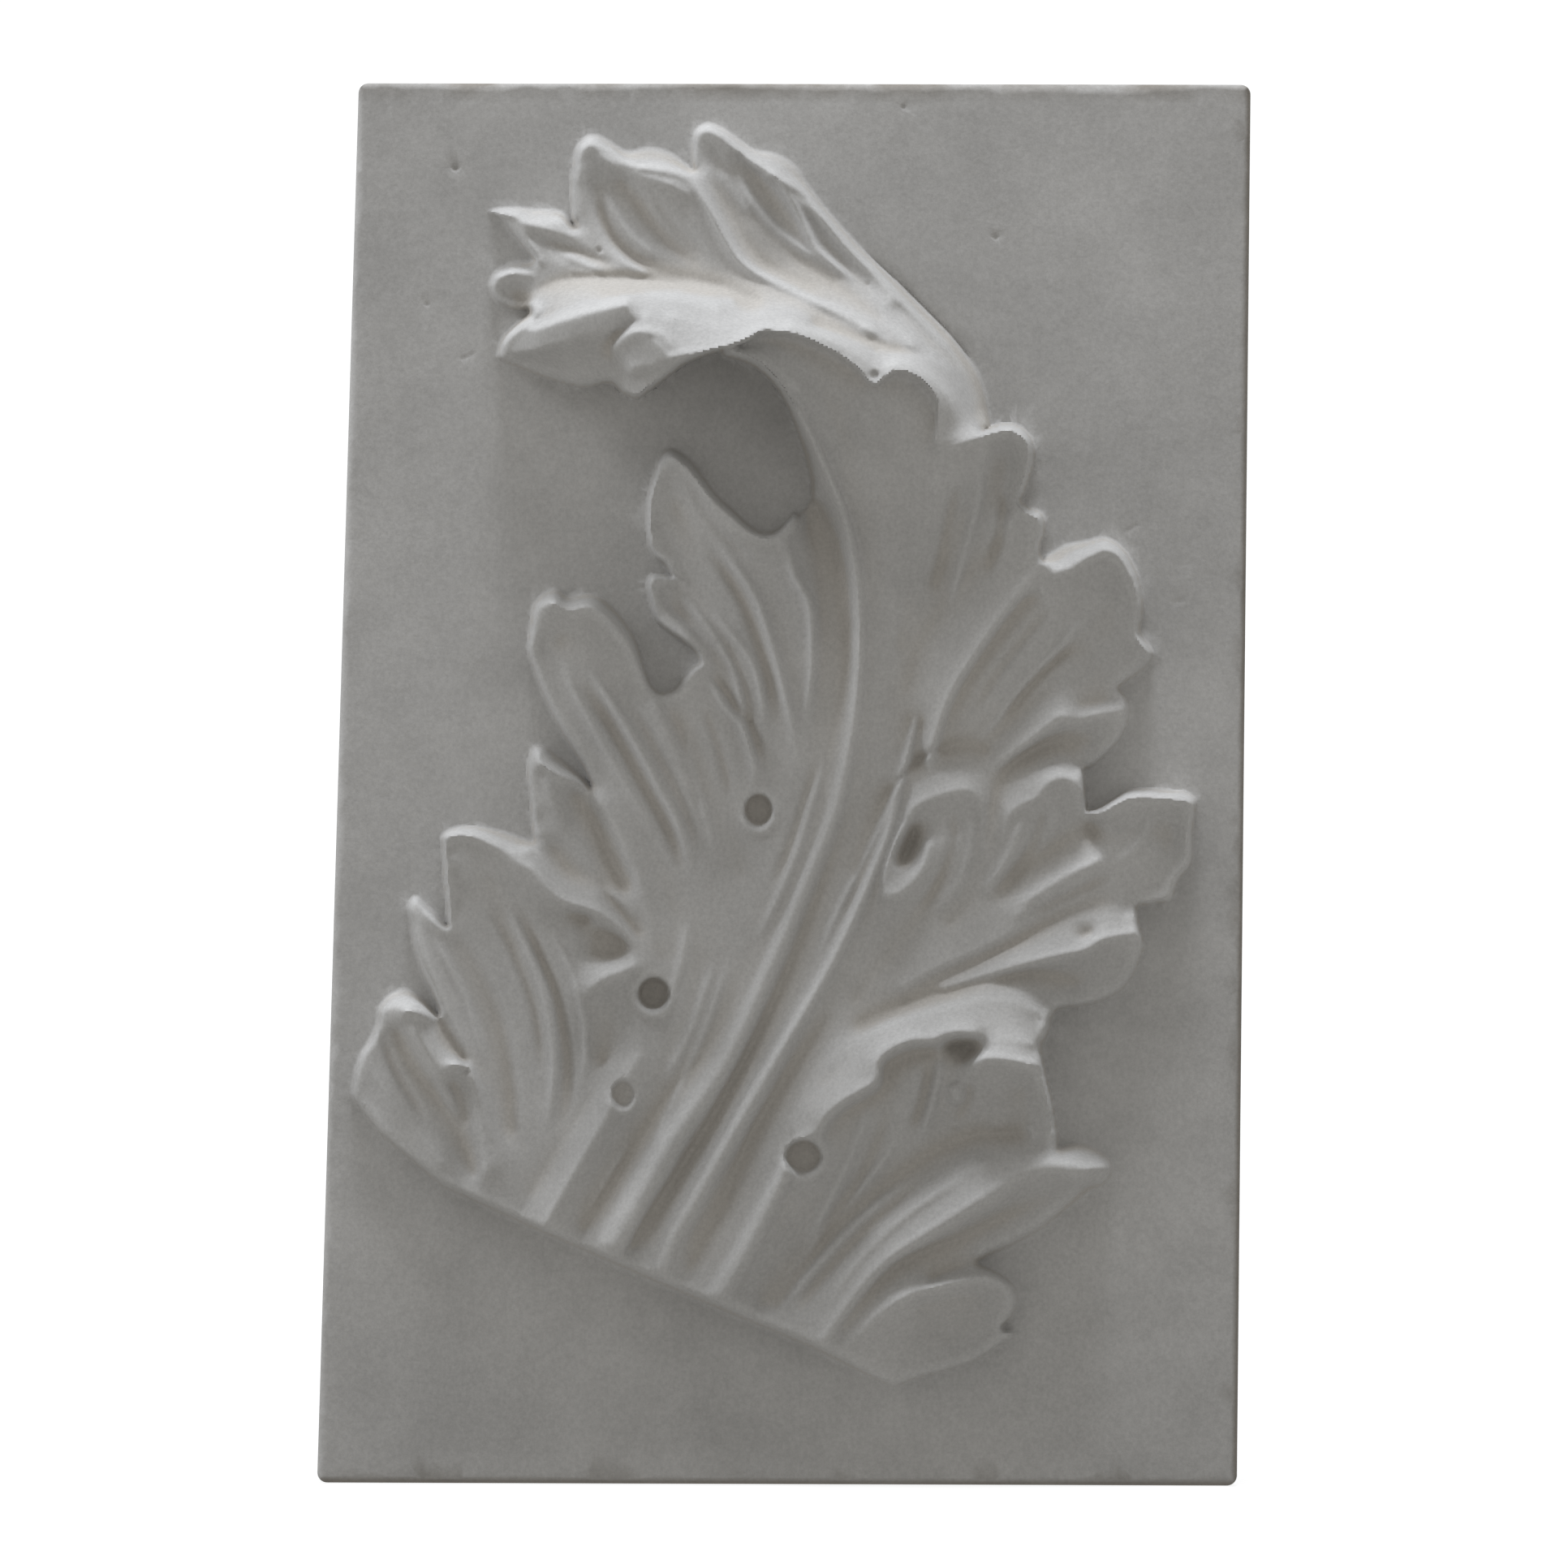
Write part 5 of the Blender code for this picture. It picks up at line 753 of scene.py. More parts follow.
def soften(grid, radius):
    """Gaussian blur over a radius in metres on the slab."""
    cells = radius / UNIT / SHEET_STEP
    reach = int(np.ceil(cells * BLUR_REACH))
    weights = np.exp(-0.5 * (np.arange(-reach, reach + 1) / cells) ** 2)
    weights /= weights.sum()
    rows, columns = grid.shape
    padded = np.pad(grid, ((reach, reach), (0, 0)), mode="edge")
    grid = sum(weight * padded[k:k + rows] for k, weight in enumerate(weights))
    padded = np.pad(grid, ((0, 0), (reach, reach)), mode="edge")
    return sum(weight * padded[:, k:k + columns] for k, weight in enumerate(weights))


def pin_standing_edge(sheet, run, depth):
    """A rounded bank: its foot lies on the slab and its rim stands behind the outline."""
    rim = run[:, :3].copy()
    rim[:, :2] += sideways(run) * run[:, 3:4]
    rows, columns = sheet.cells(rim[:, 0], rim[:, 1])
    inset = np.minimum(run[:, 3] * RIM_INSET_SHARE, RIM_INSET_MOST)
    clear = depth[rows, columns] > inset - RIM_PLAY
    for k in range(len(rim) - 1):
        if clear[k] and clear[k + 1]:
            sheet.pin(rim[k:k + 2])
    foot = run[:, :3].copy()
    foot[:, 2] = 0
    sheet.pin(foot, strength=FOOT_HOLD)


def pin_round_back(sheet, run, back, within):
    """Lowers the skin on both sides of a crest, so that its back is round."""
    start, stop, fall = back
    half = np.linspace(start, stop, len(run))[:, None]
    for side in (-1.0, -0.5, 0.5, 1.0):
        flank = run.copy()
        flank[:, :2] += sideways(run) * half * side
        flank[:, 2] -= fall * side * side
        sheet.pin(flank, easing=FLANK_EASING, within=within)


def carve(outline, lines, rounded, veins, sizes, eyes=()):
    """Skin over one drawn form, and how deep inside its outline each cell lies."""
    sheet = Sheet()
    runs = [(kind, smooth_run(points)) for _, kind, points in outline]
    depth = depth_inside(sheet, np.vstack([run[:, :2] for _, run in runs]))
    within = depth > -LINE_OVERRUN
    for kind, run in runs:
        if kind == "stands":
            pin_standing_edge(sheet, run, depth)
        elif run.shape[1] > 2:
            sheet.pin(run)
    for name, points in lines.items():
        run = smooth_run(points)
        if name in rounded:
            pin_round_back(sheet, run, rounded[name], within)
        sheet.pin(run, easing=LINE_EASING, within=within)
    skin = stretch(sheet.pull, sheet.hold)
    for width, rise, points in veins:
        run = smooth_run([(u, v, 0) for u, v in points])[::2, :2]
        near = sheet.around(run, width * MARK_REACH)
        along, gap = beside(sheet, near, run)
        ends = ease(along / VEIN_EASING) * ease((1 - along) / VEIN_EASING)
        skin[near] += rise * VEIN_STRENGTH * np.exp(-((gap / width) ** 2)) * ends
    fine = soften(skin, sizes.bank_softness)
    skin = fine + sizes.crispness * (fine - soften(skin, sizes.crisp_width))
    for u, v, half_width, half_height, floor in eyes:
        down = (sheet.v - v) / half_height
        away = np.hypot((sheet.u - u) / half_width, down)
        wall = EYE_WALL * (1 + EYE_SLANT * np.clip(down, 0, 1))
        skin += (np.minimum(skin, floor) - skin) * ease((EYE_LIP - away) / wall)
        rim = EYE_RIM * np.exp(-(((away - EYE_RIM_AWAY) / EYE_RIM_WIDTH) ** 2))
        skin += rim * np.clip(down + EYE_RIM_FADE, 0, 1)
    return sheet, skin, depth


def mark_surface(sheet, relief):
    """Sinks the pits and scratches that the cast has."""
    for u, v, width, sink in PITS:
        near = sheet.around(np.array([[u, v]], float), width * MARK_REACH)
        away = np.hypot(sheet.u[near] - u, sheet.v[near] - v) / width
        relief[near] -= sink * MILLIMETRE * ease(PIT_EDGE - away)
    for width, sink, points in SCRATCHES:
        run = np.array(points, float)
        near = sheet.around(run, width * MARK_REACH)
        along, gap = beside(sheet, near, run)
        groove = sink * MILLIMETRE * np.exp(-((gap / width) ** 2))
        relief[near] -= groove * ease(along / SCRATCH_EASING) * ease((1 - along) / SCRATCH_EASING)
    return relief


def drawn_rise(sizes):
    """The whole relief as a grid over the drawing, in metres."""
    sheet, skin, depth = carve(LEAF_OUTLINE, LEAF_LINES, LEAF_ROUNDED, LEAF_VEINS, sizes, EYES)
    relief = np.maximum(skin, 0) * ease((depth + SKIN_START) / HEM)
    cut = np.array(STEM_CUT, float)
    above_cut = np.interp(sheet.u, cut[:, 0], cut[:, 1]) - sheet.v
    relief *= ease((above_cut + HEM) / (2 * HEM))
    sheet, skin, depth = carve(TIP_OUTLINE, TIP_LINES, TIP_ROUNDED, TIP_VEINS, sizes)
    relief += (skin - relief) * ease((depth + SKIN_START) / HEM)
    return sheet, mark_surface(sheet, relief * RELIEF_DEPTH / TOP_RISE)


def view_of_front():
    """Projective map from a place on the slab's front to the drawing."""
    half_width, half_height = SLAB_WIDTH / 2, SLAB_HEIGHT / 2
    rows, wanted = [], []
    for (right, up), (u, v) in zip(((-1, 1), (1, 1), (1, -1), (-1, -1)), VIEW_CORNERS):
        z = up * half_height
        x = right * half_width + SLAB_LEAN * z
        rows.append([x, z, 1, 0, 0, 0, -u * x, -u * z])
        rows.append([0, 0, 0, x, z, 1, -v * x, -v * z])
        wanted += [u, v]
    return np.append(np.linalg.solve(np.array(rows), np.array(wanted)), 1.0).reshape(3, 3)


def read_sheet(sheet, values, x, z):
    """Values of the drawing's grid over places on the slab's front."""
    seen = view_of_front() @ np.stack([x, z, np.ones(len(x))])
    column = np.clip((seen[0] / seen[2] - sheet.us[0]) / SHEET_STEP, 0, len(sheet.us) - 1.001)
    row = np.clip((seen[1] / seen[2] - sheet.vs[0]) / SHEET_STEP, 0, len(sheet.vs) - 1.001)
    j, i = column.astype(int), row.astype(int)
    across, down = column - j, row - i
    upper = values[i, j] * (1 - across) + values[i, j + 1] * across
    lower = values[i + 1, j] * (1 - across) + values[i + 1, j + 1] * across
    return upper * (1 - down) + lower * down


def round_corners(x, z):
    """Draws the grid's square corners in to round ones."""
    over_x = np.maximum(np.abs(x) - (SLAB_WIDTH / 2 - CORNER_RADIUS), 0)
    over_z = np.maximum(np.abs(z) - (SLAB_HEIGHT / 2 - CORNER_RADIUS), 0)
    corner = (over_x > 0) & (over_z > 0)
    reach = np.maximum(np.hypot(over_x, over_z), TINY)
    draw = np.where(corner, 1 - np.maximum(over_x, over_z) / reach, 0)
    return x - np.sign(x) * over_x * draw, z - np.sign(z) * over_z * draw


def uneven(x, z, size, seed):
    """Smooth noise between -1 and 1 over places on the slab, with lumps of the given size."""
    rough = np.random.default_rng(seed).uniform(-1, 1, (LUMPS_ACROSS + 2, LUMPS_ACROSS + 2))
    middle = (LUMPS_ACROSS + 1) / 2
    column, row = (x / size + middle) % LUMPS_ACROSS, (z / size + middle) % LUMPS_ACROSS
    j, i = column.astype(int), row.astype(int)
    across, down = ease(column - j), ease(row - i)
    upper = rough[i, j] * (1 - across) + rough[i, j + 1] * across
    lower = rough[i + 1, j] * (1 - across) + rough[i + 1, j + 1] * across
    return upper * (1 - down) + lower * down


def lumpy(x, z, lumps, start):
    """Adds unevenness of several sizes to a starting value."""
    return sum((share * uneven(x, z, size, seed) for share, size, seed in lumps), start)


def carve_front(sizes):
    """The slab's front as an open sheet, with its drawing: leaf, worn rim and uneven field."""
    grid = bmesh.new()
    columns, rows = round(SLAB_WIDTH / CELL), round(SLAB_HEIGHT / CELL)
    bmesh.ops.create_grid(grid, x_segments=columns, y_segments=rows, size=1.0)
    mesh = bpy.data.meshes.new(CAST)
    grid.to_mesh(mesh)
    grid.free()
    places = np.empty(len(mesh.vertices) * 3, np.float32)
    mesh.vertices.foreach_get("co", places)
    shares = places.reshape(-1, 3).astype(float)
    x, z = round_corners(shares[:, 0] * SLAB_WIDTH / 2, shares[:, 1] * SLAB_HEIGHT / 2)
    to_rim = np.minimum(SLAB_WIDTH / 2 - np.abs(x), SLAB_HEIGHT / 2 - np.abs(z))
    x = x + SLAB_LEAN * z
    sheet, relief = drawn_rise(sizes)
    rise = read_sheet(sheet, relief, x, z)
    worn = sizes.rim_wear * lumpy(x, z, RIM_LUMPS, 1)
    into = np.clip(1 - to_rim / worn, 0, 1)
    rise -= worn * (1 - np.sqrt(1 - into**2))
    rise += sizes.field_waves * lumpy(x, z, FIELD_LUMPS, 0)
    towards_eye = rise / (EYE_BACK * SLAB_HEIGHT)
    x += (EYE_RIGHT * SLAB_HEIGHT - x) * towards_eye
    z += (EYE_UP * SLAB_HEIGHT - z) * towards_eye
    mesh.vertices.foreach_set("co", np.stack([x, -SLAB_THICKNESS - rise, z], axis=1).ravel())
    front = bpy.data.objects.new(CAST, mesh)
    bpy.context.collection.objects.link(front)
    thin_out = front.modifiers.new("Thin out", "DECIMATE")
    thin_out.ratio = TRIANGLES / (2 * len(mesh.polygons))
    thinned = front.evaluated_get(bpy.context.evaluated_depsgraph_get())
    front.data = bpy.data.meshes.new_from_object(thinned)
    front.modifiers.clear()
    bpy.data.meshes.remove(mesh)
    return front, sheet, relief


def close_slab(front):
    """Gives the carved sheet its flanks and its flat back."""
    body = bmesh.new()
    body.from_mesh(front.data)
    rim = [edge for edge in body.edges if edge.is_boundary]
    sides = bmesh.ops.extrude_edge_only(body, edges=rim)["geom"]
    for vertex in sides:
        if isinstance(vertex, bmesh.types.BMVert):
            vertex.co.y = 0
    back_rim = [edge for edge in sides if isinstance(edge, bmesh.types.BMEdge) and edge.is_boundary]
    bmesh.ops.holes_fill(body, edges=back_rim)
    bmesh.ops.recalc_face_normals(body, faces=body.faces[:])
    body.to_mesh(front.data)
    body.free()
    front.data.shade_smooth()
    front.data.set_sharp_from_angle(angle=np.radians(SHARP_ANGLE))


def note_painted_light_dust_and_wear(cast, sheet, relief):
    """Keeps at each corner of the mesh how sunk or proud it lies and how near the edges, for the plaster's
    tones: painted shade in the brown hollows, pale worn crests, a painted highlight on the left edge, painted
    shade on the right and lower edge.
    """
    places = np.empty(len(cast.data.vertices) * 3, np.float32)
    cast.data.vertices.foreach_get("co", places)
    x, y, z = places.reshape(-1, 3).astype(float).T
    towards_eye = (-y - SLAB_THICKNESS) / (EYE_BACK * SLAB_HEIGHT)
    x = (x - EYE_RIGHT * SLAB_HEIGHT * towards_eye) / (1 - towards_eye)
    z = (z - EYE_UP * SLAB_HEIGHT * towards_eye) / (1 - towards_eye)
    proud = read_sheet(sheet, relief - soften(relief, DUST_AND_SHADE_REACH), x, z)
    fine = read_sheet(sheet, relief - soften(relief, WEAR_REACH), x, z)
    on_leaf = read_sheet(sheet, ease(relief / LEAF_LIFT), x, z)
    to_right = SLAB_WIDTH / 2 + SLAB_LEAN * z - x
    to_left = SLAB_WIDTH / 2 - SLAB_LEAN * z + x
    to_foot = SLAB_HEIGHT / 2 + z
    values = {
        # sunk: hollows painted brown as dust and painted shade
        "sunk": np.clip(-proud / DUST_AND_SHADE_REACH * TONE_GAIN, 0, 1) * on_leaf,
        # proud: worn crests, plus a painted highlight along the left edge
        "proud": np.clip(fine / WEAR_REACH * TONE_GAIN, 0, 1) * on_leaf + ease(1 - to_left / PAINTED_EDGE_REACH),
        # painted shade along the right and the lower edge
        "grimy": np.maximum(ease(1 - to_right / PAINTED_EDGE_REACH), ease(1 - to_foot / PAINTED_EDGE_REACH)),
    }
    for name, value in values.items():
        layer = cast.data.attributes.new(name, "FLOAT", "POINT")
        layer.data.foreach_set("value", np.clip(value, 0, 1).astype(np.float32))


def linear(hex_colour):
    """sRGB hex to linear red, green, blue and full alpha."""
    shares = [int(hex_colour[k:k + 2], 16) / 255 for k in (1, 3, 5)]
    return [s / 12.92 if s <= 0.04045 else ((s + 0.055) / 1.055) ** 2.4 for s in shares] + [1.0]


def add_node(tree, kind, settings=(), links=()):
    """Adds one node with its settings, socket values by name or index, and incoming links."""
    node = tree.nodes.new(kind)
    for name, value in dict(settings).items():
        if isinstance(name, int) or name in node.inputs:
            node.inputs[name].default_value = value
        else:
            setattr(node, name, value)
    for socket, source in dict(links).items():
        tree.links.new(source, node.inputs[socket])
    return node


def noise(tree, place, size, detail, roughness=0.5):
    """Noise over the object, with lumps of the given size in metres."""
    settings = {"Scale": 1 / size, "Detail": detail, "Roughness": roughness}
    return add_node(tree, "ShaderNodeTexNoise", settings, {"Vector": place}).outputs["Fac"]


def stretch_range(tree, value, low, high, to_low, to_high):
    """Maps a value from one range to another, held at its ends."""
    ends = {1: low, 2: high, 3: to_low, 4: to_high}
    return add_node(tree, "ShaderNodeMapRange", ends, {0: value}).outputs[0]


def times(tree, value, factor):
    """Multiplies a value by another one, given or from a socket."""
    node = add_node(tree, "ShaderNodeMath", {"operation": "MULTIPLY"}, {0: value})
    if isinstance(factor, bpy.types.NodeSocket):
        tree.links.new(factor, node.inputs[1])
    else:
        node.inputs[1].default_value = factor
    return node.outputs[0]


def blend(tree, share, under, over, kind="MIX"):
    """Lays a colour, given or from a socket, over another by a share."""
    node = add_node(tree, "ShaderNodeMix", {"data_type": "RGBA", "blend_type": kind})
    for socket, source in ((0, share), (6, under), (7, over)):
        if isinstance(source, bpy.types.NodeSocket):
            tree.links.new(source, node.inputs[socket])
        else:
            node.inputs[socket].default_value = source
    return node.outputs[2]


def cast_plaster(finish):
    """Gypsum plaster, cast and left bare: matt, clouded grey, brown dusty hollows with painted shade, pale
    worn crests, a painted highlight on the left edge, painted shade on the right and lower edge and towards
    the foot.
    """
    material = bpy.data.materials.new("cast plaster")
    material.use_nodes = True
    tree = material.node_tree
    shader = tree.nodes["Principled BSDF"]
    shader.inputs["Specular IOR Level"].default_value = PLASTER_SPECULAR
    place = add_node(tree, "ShaderNodeTexCoord").outputs["Object"]
    height = add_node(tree, "ShaderNodeSeparateXYZ", (), {"Vector": place}).outputs["Z"]
    sunk, proud, grimy = (
        add_node(tree, "ShaderNodeAttribute", {"attribute_name": name}).outputs["Fac"]
        for name in ("sunk", "proud", "grimy")
    )

    # Clouded tone of a hand-mixed cast
    clouds = noise(tree, place, finish.cloud_size, 5.0, 0.6)
    clouded = stretch_range(tree, clouds, *CLOUD_RANGE, 0, 1)
    colour = blend(tree, clouded, linear(finish.dark_tone), linear(finish.light_tone))
    # Dust and painted shade lie brown in the hollows, in patches, and show how deep they are
    patches = noise(tree, place, finish.patch_size, 3.0, 0.6)
    dust_and_shade_share = times(tree, sunk, stretch_range(tree, patches, *DUST_AND_SHADE_RANGE, DUST_AND_SHADE_LEAST, finish.dust_and_shade))
    colour = blend(tree, dust_and_shade_share, colour, linear(finish.dust_and_shade_tone))
    # Fingers keep the crests clean and pale; a painted highlight pales the left edge
    wear_and_highlight = stretch_range(tree, patches, *WEAR_AND_HIGHLIGHT_RANGE, finish.wear_and_highlight, WEAR_AND_HIGHLIGHT_LEAST * finish.wear_and_highlight)
    colour = blend(tree, times(tree, proud, wear_and_highlight), colour, linear(finish.worn_and_highlight_tone))
    # A warm band of soot hangs along the top, and painted shade darkens the slab towards the foot
    band = stretch_range(tree, height, HIGHEST.z - finish.band_height, HIGHEST.z, 0, 1)
    band = times(tree, band, stretch_range(tree, patches, *SOOT_RANGE))
    colour = blend(tree, band, colour, linear(finish.soot_and_shade_tone))
    # Painted shade darkens the right and the lower edge
    colour = blend(tree, times(tree, grimy, finish.edge_shade), colour, linear(finish.soot_and_shade_tone))
    # Painted shade: the slab darkens towards the foot
    foot = stretch_range(tree, height, LOWEST.z, 0.0, finish.foot_shade, 0.0)
    colour = blend(tree, foot, colour, linear("#000000"))
    # Grain of the gypsum, which keeps the flat field from looking smooth
    grain = stretch_range(tree, noise(tree, place, finish.grain_size, 3.0, 0.75), *GRAIN_RANGE)
    colour = blend(tree, 1.0, colour, grain, "MULTIPLY")
    tree.links.new(colour, shader.inputs["Base Color"])
    # Handled crests have a trace of polish, the dusty hollows none
    tree.links.new(stretch_range(tree, proud, 0, 1, *ROUGHNESS_RANGE), shader.inputs["Roughness"])
    # Tooth of the plaster and soft dimples
    tooth = {"Strength": BUMP_STRENGTH, "Distance": finish.tooth_depth}
    height = noise(tree, place, finish.tooth_size, 4.0, 0.7)
    normal = add_node(tree, "ShaderNodeBump", tooth, {"Height": height}).outputs["Normal"]
    dimples = {"Strength": BUMP_STRENGTH, "Distance": finish.dimple_depth}
    height = noise(tree, place, finish.dimple_size, 2.0)
    normal = add_node(tree, "ShaderNodeBump", dimples, {"Height": height, "Normal": normal}).outputs["Normal"]
    tree.links.new(normal, shader.inputs["Normal"])
    return material


def paper_white():
    """Matt white paper, so pale that it drops out, and clear where it is seen from its back."""
    material = bpy.data.materials.new("white paper sweep")
    material.use_nodes = True
    shader = material.node_tree.nodes["Principled BSDF"]
    shader.inputs["Base Color"].default_value = linear(PAPER_TONE)
    shader.inputs["Roughness"].default_value = 1.0
    shader.inputs["Specular IOR Level"].default_value = 0.0
    shader.inputs["Emission Color"].default_value = linear("#ffffff")
    shader.inputs["Emission Strength"].default_value = PAPER_GLOW
    tree = material.node_tree
    seen_from_back = add_node(tree, "ShaderNodeNewGeometry").outputs["Backfacing"]
    clear = add_node(tree, "ShaderNodeBsdfTransparent").outputs["BSDF"]
    links = {0: seen_from_back, 1: shader.outputs["BSDF"], 2: clear}
    mixed = add_node(tree, "ShaderNodeMixShader", links=links).outputs["Shader"]
    tree.links.new(mixed, tree.nodes["Material Output"].inputs["Surface"])
    return material


def length_setting(name, description, default, least, most=1.0):
    """A setting in metres."""
    return FloatProperty(
        name=name, description=description, default=default, min=least, max=most, unit="LENGTH")


def share_setting(name, description, default):
    """A setting between none and all."""
    return FloatProperty(
        name=name, description=description, default=default, min=0.0, max=1.0, subtype="FACTOR")


def tone_setting(name, shown, default):
    """A setting for a tone, as sRGB hex."""
    return StringProperty(name=name, description="sRGB hex of " + shown, default=default)


class ReliefSizes(bpy.types.PropertyGroup):
    bank_softness: length_setting(
        "Bank softness", "How far the chisel's corners are rounded over", 0.0008, 0.0003, 0.004)
    crispness: share_setting("Crispness", "Share by which crests stand prouder than the stretched skin", 0.25)
    crisp_width: length_setting("Crisp width", "Width over which crests stand prouder", 0.004, 0.001, 0.02)
    rim_wear: length_setting("Rim wear", "Rounding of the slab's front edges", 0.0028, 0.0002, 0.006)
    field_waves: length_setting("Field waves", "How uneven the flat field is", 0.00022, 0.0, 0.002)


class PlasterFinish(bpy.types.PropertyGroup):
    light_tone: tone_setting("Light tone", "the palest plaster", "#c6c5c3")
    dark_tone: tone_setting("Dark tone", "the darkest plaster", "#b3b2b0")
    # Tone of the dust and painted shade in the hollows
    dust_and_shade_tone: tone_setting("Dust and shade tone", "the dust in the hollows", "#b6ad9f")
    # Tone of the worn crests and of the painted highlight on the left edge
    soot_and_shade_tone: tone_setting("Soot and shade tone", "soot and handling", "#7d766c")
    # Tone of the soot along the top and of the painted shade on the right and lower edge
    worn_and_highlight_tone: tone_setting("Worn and highlight tone", "the handled crests", "#d6d6d4")
    # Share of dust and painted shade in a hollow
    dust_and_shade: share_setting("Dust", "Share of dust in a hollow", 0.4)
    # Share of paling on a crest and of painted highlight on the left edge
    wear_and_highlight: share_setting("Wear", "Share of paling on a crest", 0.25)
    # Share of painted shade on the right and lower edge
    edge_shade: share_setting("Edge shade", "Share of soot on the right and lower edge", 0.9)
    # Share of painted shade, darkening the slab towards the foot
    foot_shade: share_setting("Foot shade", "Share of grime along the foot", 0.1)
    band_height: length_setting("Band height", "Height of the soot along the top", 0.008, 0.001)
    patch_size: length_setting("Patch size", "Width of a patch of dust", 0.028, 0.002)
    cloud_size: length_setting("Cloud size", "Width of a cloud in the tone", 0.055, 0.005)
    grain_size: length_setting("Grain size", "Width of a speck", 0.0016, 0.0002)
    tooth_size: length_setting("Tooth size", "Width of the finest bumps", 0.0011, 0.0002)
    tooth_depth: length_setting("Tooth depth", "Depth of the finest bumps", 0.00012, 0.0)
    dimple_size: length_setting("Dimple size", "Width of the soft dimples", 0.006, 0.001)
    dimple_depth: length_setting("Dimple depth", "Depth of the soft dimples", 0.0003, 0.0)


class StudioLight(bpy.types.PropertyGroup):
    overhead_power: FloatProperty(
        name="Overhead power", description="Soft box above the slab", default=66.0, min=0.0, unit="POWER")
    left_power: FloatProperty(
        name="Left power", description="Soft box to the left above the slab",
        default=14.0, min=0.0, unit="POWER")
    room: FloatProperty(name="Room light", description="Even light from all around", default=0.42, min=0.0)
    lens: FloatProperty(name="Lens", description="Focal length in millimetres", default=85.0, min=20.0)


class OBJECT_OT_carve_acanthus_relief(bpy.types.Operator):
    """Models the slab with its leaf in relief and finishes it in cast plaster"""

    bl_idname = "object.carve_acanthus_relief"
    bl_label = "Carve the acanthus relief"

    def execute(self, context):
        cast, sheet, relief = carve_front(context.scene.relief_sizes)
        close_slab(cast)
        note_painted_light_dust_and_wear(cast, sheet, relief)
        cast.name = "acanthus_relief_cast"
        cast.data.materials.clear()
        cast.data.materials.append(cast_plaster(context.scene.plaster_finish))
        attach(cast, "root")
        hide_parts(CAST)
        return {"FINISHED"}


def add_soft_box(name, power, size, place):
    """A square soft box at a place, turned to the middle of the slab's front."""
    data = bpy.data.lights.new(name, "AREA")
    data.energy = power
    data.size = size
    data.color = linear(LAMP_TONE)[:3]
    lamp = bpy.data.objects.new(name, data)
    lamp.location = place
    aim = Vector((0, -SLAB_THICKNESS, 0)) - Vector(place)
    lamp.rotation_euler = aim.to_track_quat("-Z", "Y").to_euler()
    bpy.context.collection.objects.link(lamp)


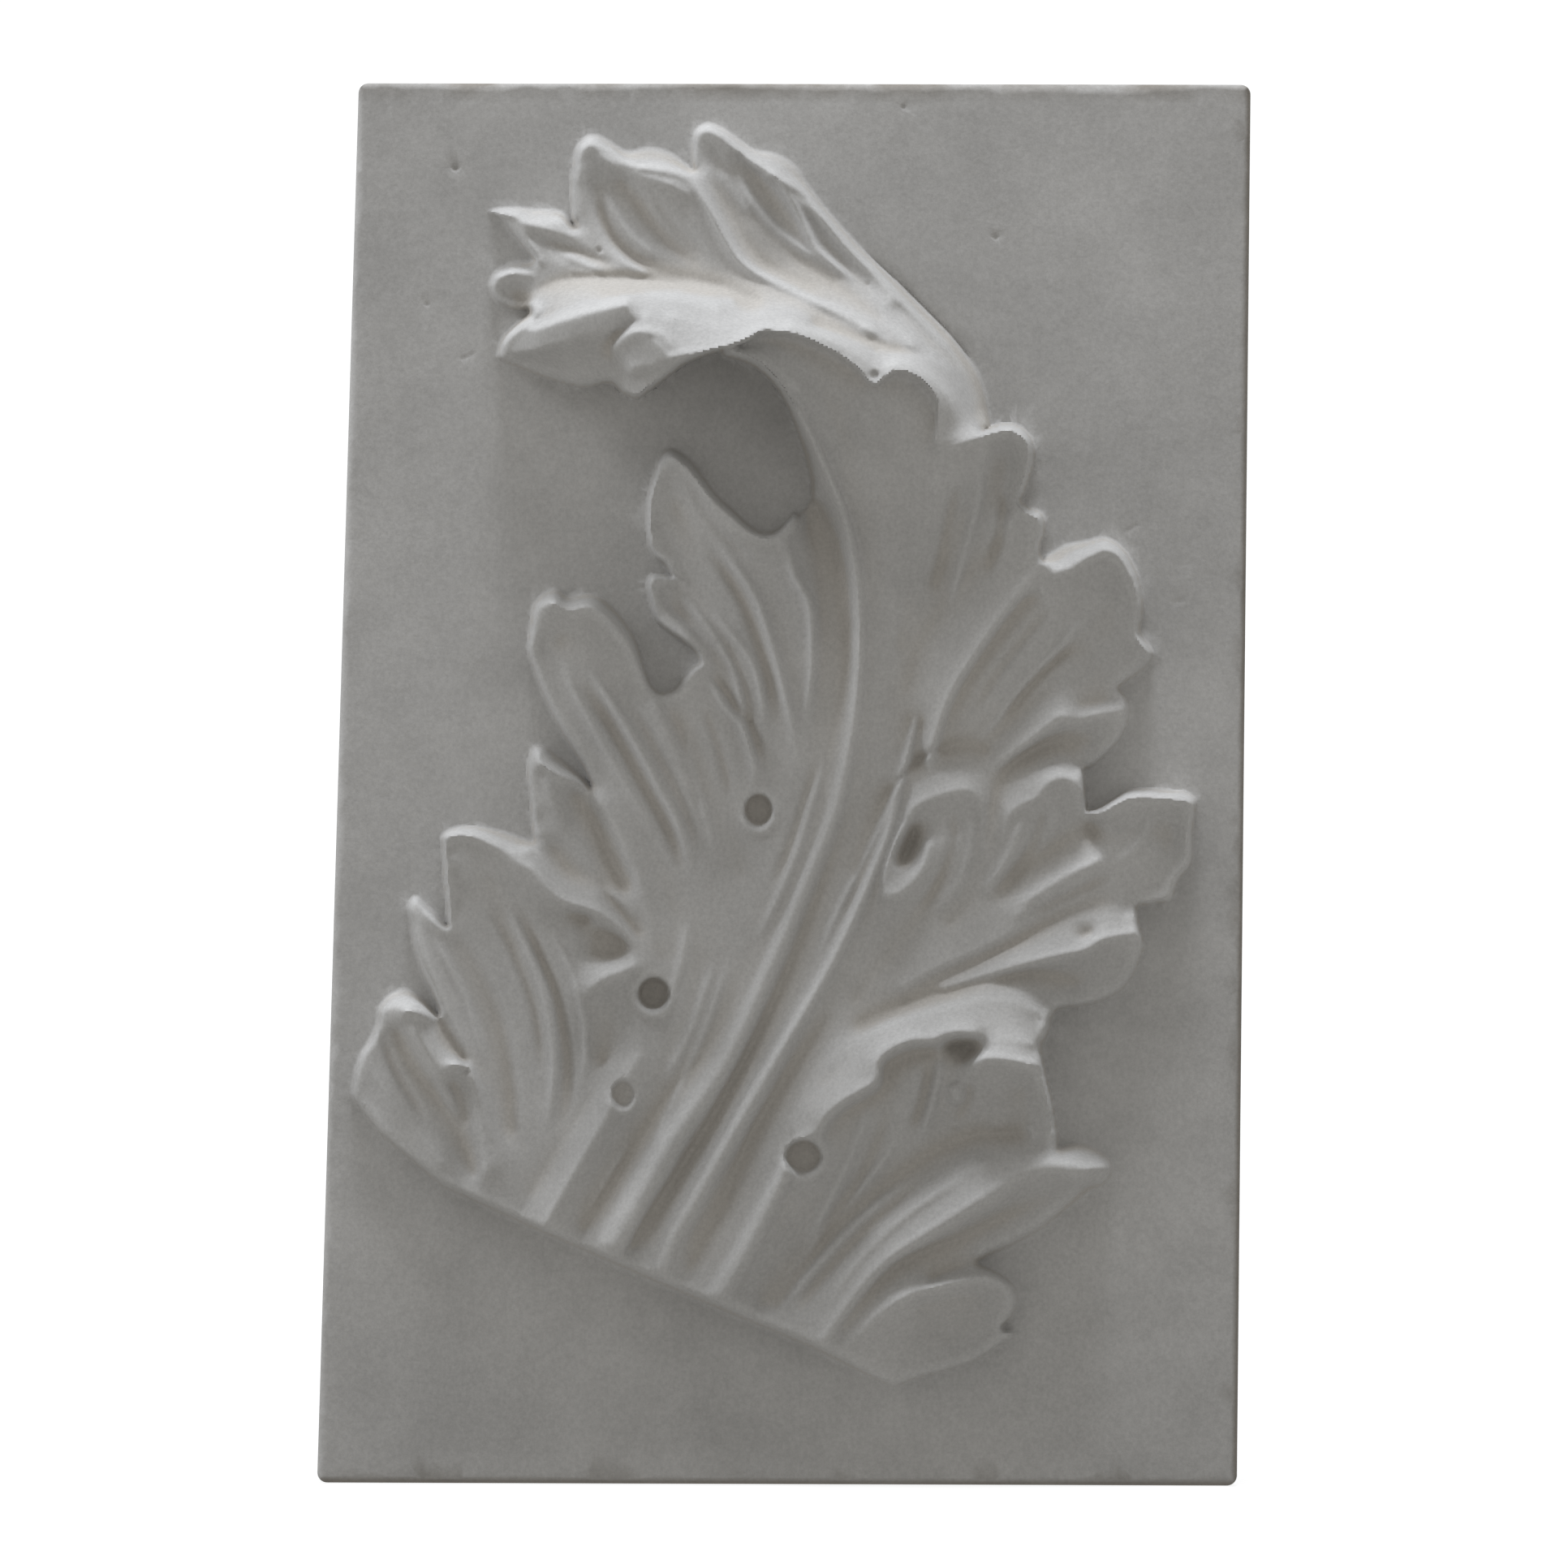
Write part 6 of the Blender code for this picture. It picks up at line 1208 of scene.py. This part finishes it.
class OBJECT_OT_set_up_studio(bpy.types.Operator):
    """Puts up the white sweep, the soft boxes and the camera at the photograph's angle"""

    bl_idname = "object.set_up_studio"
    bl_label = "Set up the studio"

    def execute(self, context):
        studio = context.scene.studio_light
        sweep = bmesh.new()
        foot = LOWEST.z - SWEEP_GAP
        profile = [(SWEEP_FRONT, 0)]
        for turn in np.linspace(0, np.pi / 2, SWEEP_TURNS):
            back = SWEEP_WALL - SWEEP_BEND + SWEEP_BEND * np.sin(turn)
            profile.append((back, SWEEP_BEND - SWEEP_BEND * np.cos(turn)))
        profile.append((SWEEP_WALL, SWEEP_TOP))
        line = [sweep.verts.new((-SWEEP_HALF_WIDTH, y, foot + up)) for y, up in profile]
        edges = [sweep.edges.new(pair) for pair in zip(line, line[1:])]
        drawn = bmesh.ops.extrude_edge_only(sweep, edges=edges)["geom"]
        far_side = [part for part in drawn if isinstance(part, bmesh.types.BMVert)]
        bmesh.ops.translate(sweep, vec=(2 * SWEEP_HALF_WIDTH, 0, 0), verts=far_side)
        bmesh.ops.recalc_face_normals(sweep, faces=sweep.faces[:])
        bmesh.ops.reverse_faces(sweep, faces=sweep.faces[:])
        mesh = bpy.data.meshes.new("white_sweep")
        sweep.to_mesh(mesh)
        sweep.free()
        mesh.shade_smooth()
        mesh.materials.append(paper_white())
        floor = bpy.data.objects.new("white_sweep", mesh)
        context.collection.objects.link(floor)
        floor.visible_diffuse = False

        for name, power, size, place in SOFT_BOXES:
            add_soft_box(name, getattr(studio, power), size, place)
        world = bpy.data.worlds.new("pale room")
        world.use_nodes = True
        background = world.node_tree.nodes["Background"]
        background.inputs["Color"].default_value = linear(ROOM_TONE)
        background.inputs["Strength"].default_value = studio.room
        context.scene.world = world
        context.scene.view_settings.view_transform = "Standard"

        lens = bpy.data.cameras.new("photograph_view")
        lens.lens = studio.lens
        camera = bpy.data.objects.new("photograph_view", lens)
        eye = Vector((EYE_RIGHT, 0, EYE_UP)) * SLAB_HEIGHT
        eye.y = -SLAB_THICKNESS - EYE_BACK * SLAB_HEIGHT
        turn = Matrix.Rotation(CAMERA_YAW, 4, "Z") @ Matrix.Rotation(CAMERA_PITCH, 4, "X")
        turn = turn @ Matrix.Rotation(CAMERA_ROLL, 4, "Y") @ Matrix.Rotation(np.pi / 2, 4, "X")
        camera.matrix_world = Matrix.Translation(eye) @ turn
        context.collection.objects.link(camera)
        context.scene.camera = camera
        return {"FINISHED"}


class VIEW3D_PT_acanthus_relief(bpy.types.Panel):
    """Lists the relief's sizes, finish and light, and the steps that make it"""

    bl_label = "Acanthus relief"
    bl_space_type = "VIEW_3D"
    bl_region_type = "UI"
    bl_category = "Relief"

    def draw(self, context):
        groups = (("Carving", "relief_sizes"), ("Finish", "plaster_finish"), ("Studio", "studio_light"))
        for heading, group in groups:
            box = self.layout.box()
            box.label(text=heading)
            settings = getattr(context.scene, group)
            for name in settings.__annotations__:
                box.prop(settings, name)
        self.layout.operator(OBJECT_OT_carve_acanthus_relief.bl_idname)
        self.layout.operator(OBJECT_OT_set_up_studio.bl_idname)


CLASSES = (
    ReliefSizes, PlasterFinish, StudioLight,
    OBJECT_OT_carve_acanthus_relief, OBJECT_OT_set_up_studio, VIEW3D_PT_acanthus_relief,
)


def register():
    for entry in CLASSES:
        bpy.utils.register_class(entry)
    bpy.types.Scene.relief_sizes = PointerProperty(type=ReliefSizes)
    bpy.types.Scene.plaster_finish = PointerProperty(type=PlasterFinish)
    bpy.types.Scene.studio_light = PointerProperty(type=StudioLight)


def unregister():
    del bpy.types.Scene.studio_light
    del bpy.types.Scene.plaster_finish
    del bpy.types.Scene.relief_sizes
    for entry in reversed(CLASSES):
        bpy.utils.unregister_class(entry)


def main():
    register()
    bpy.ops.object.carve_acanthus_relief()
    bpy.ops.object.set_up_studio()


if __name__ == "__main__":
    main()
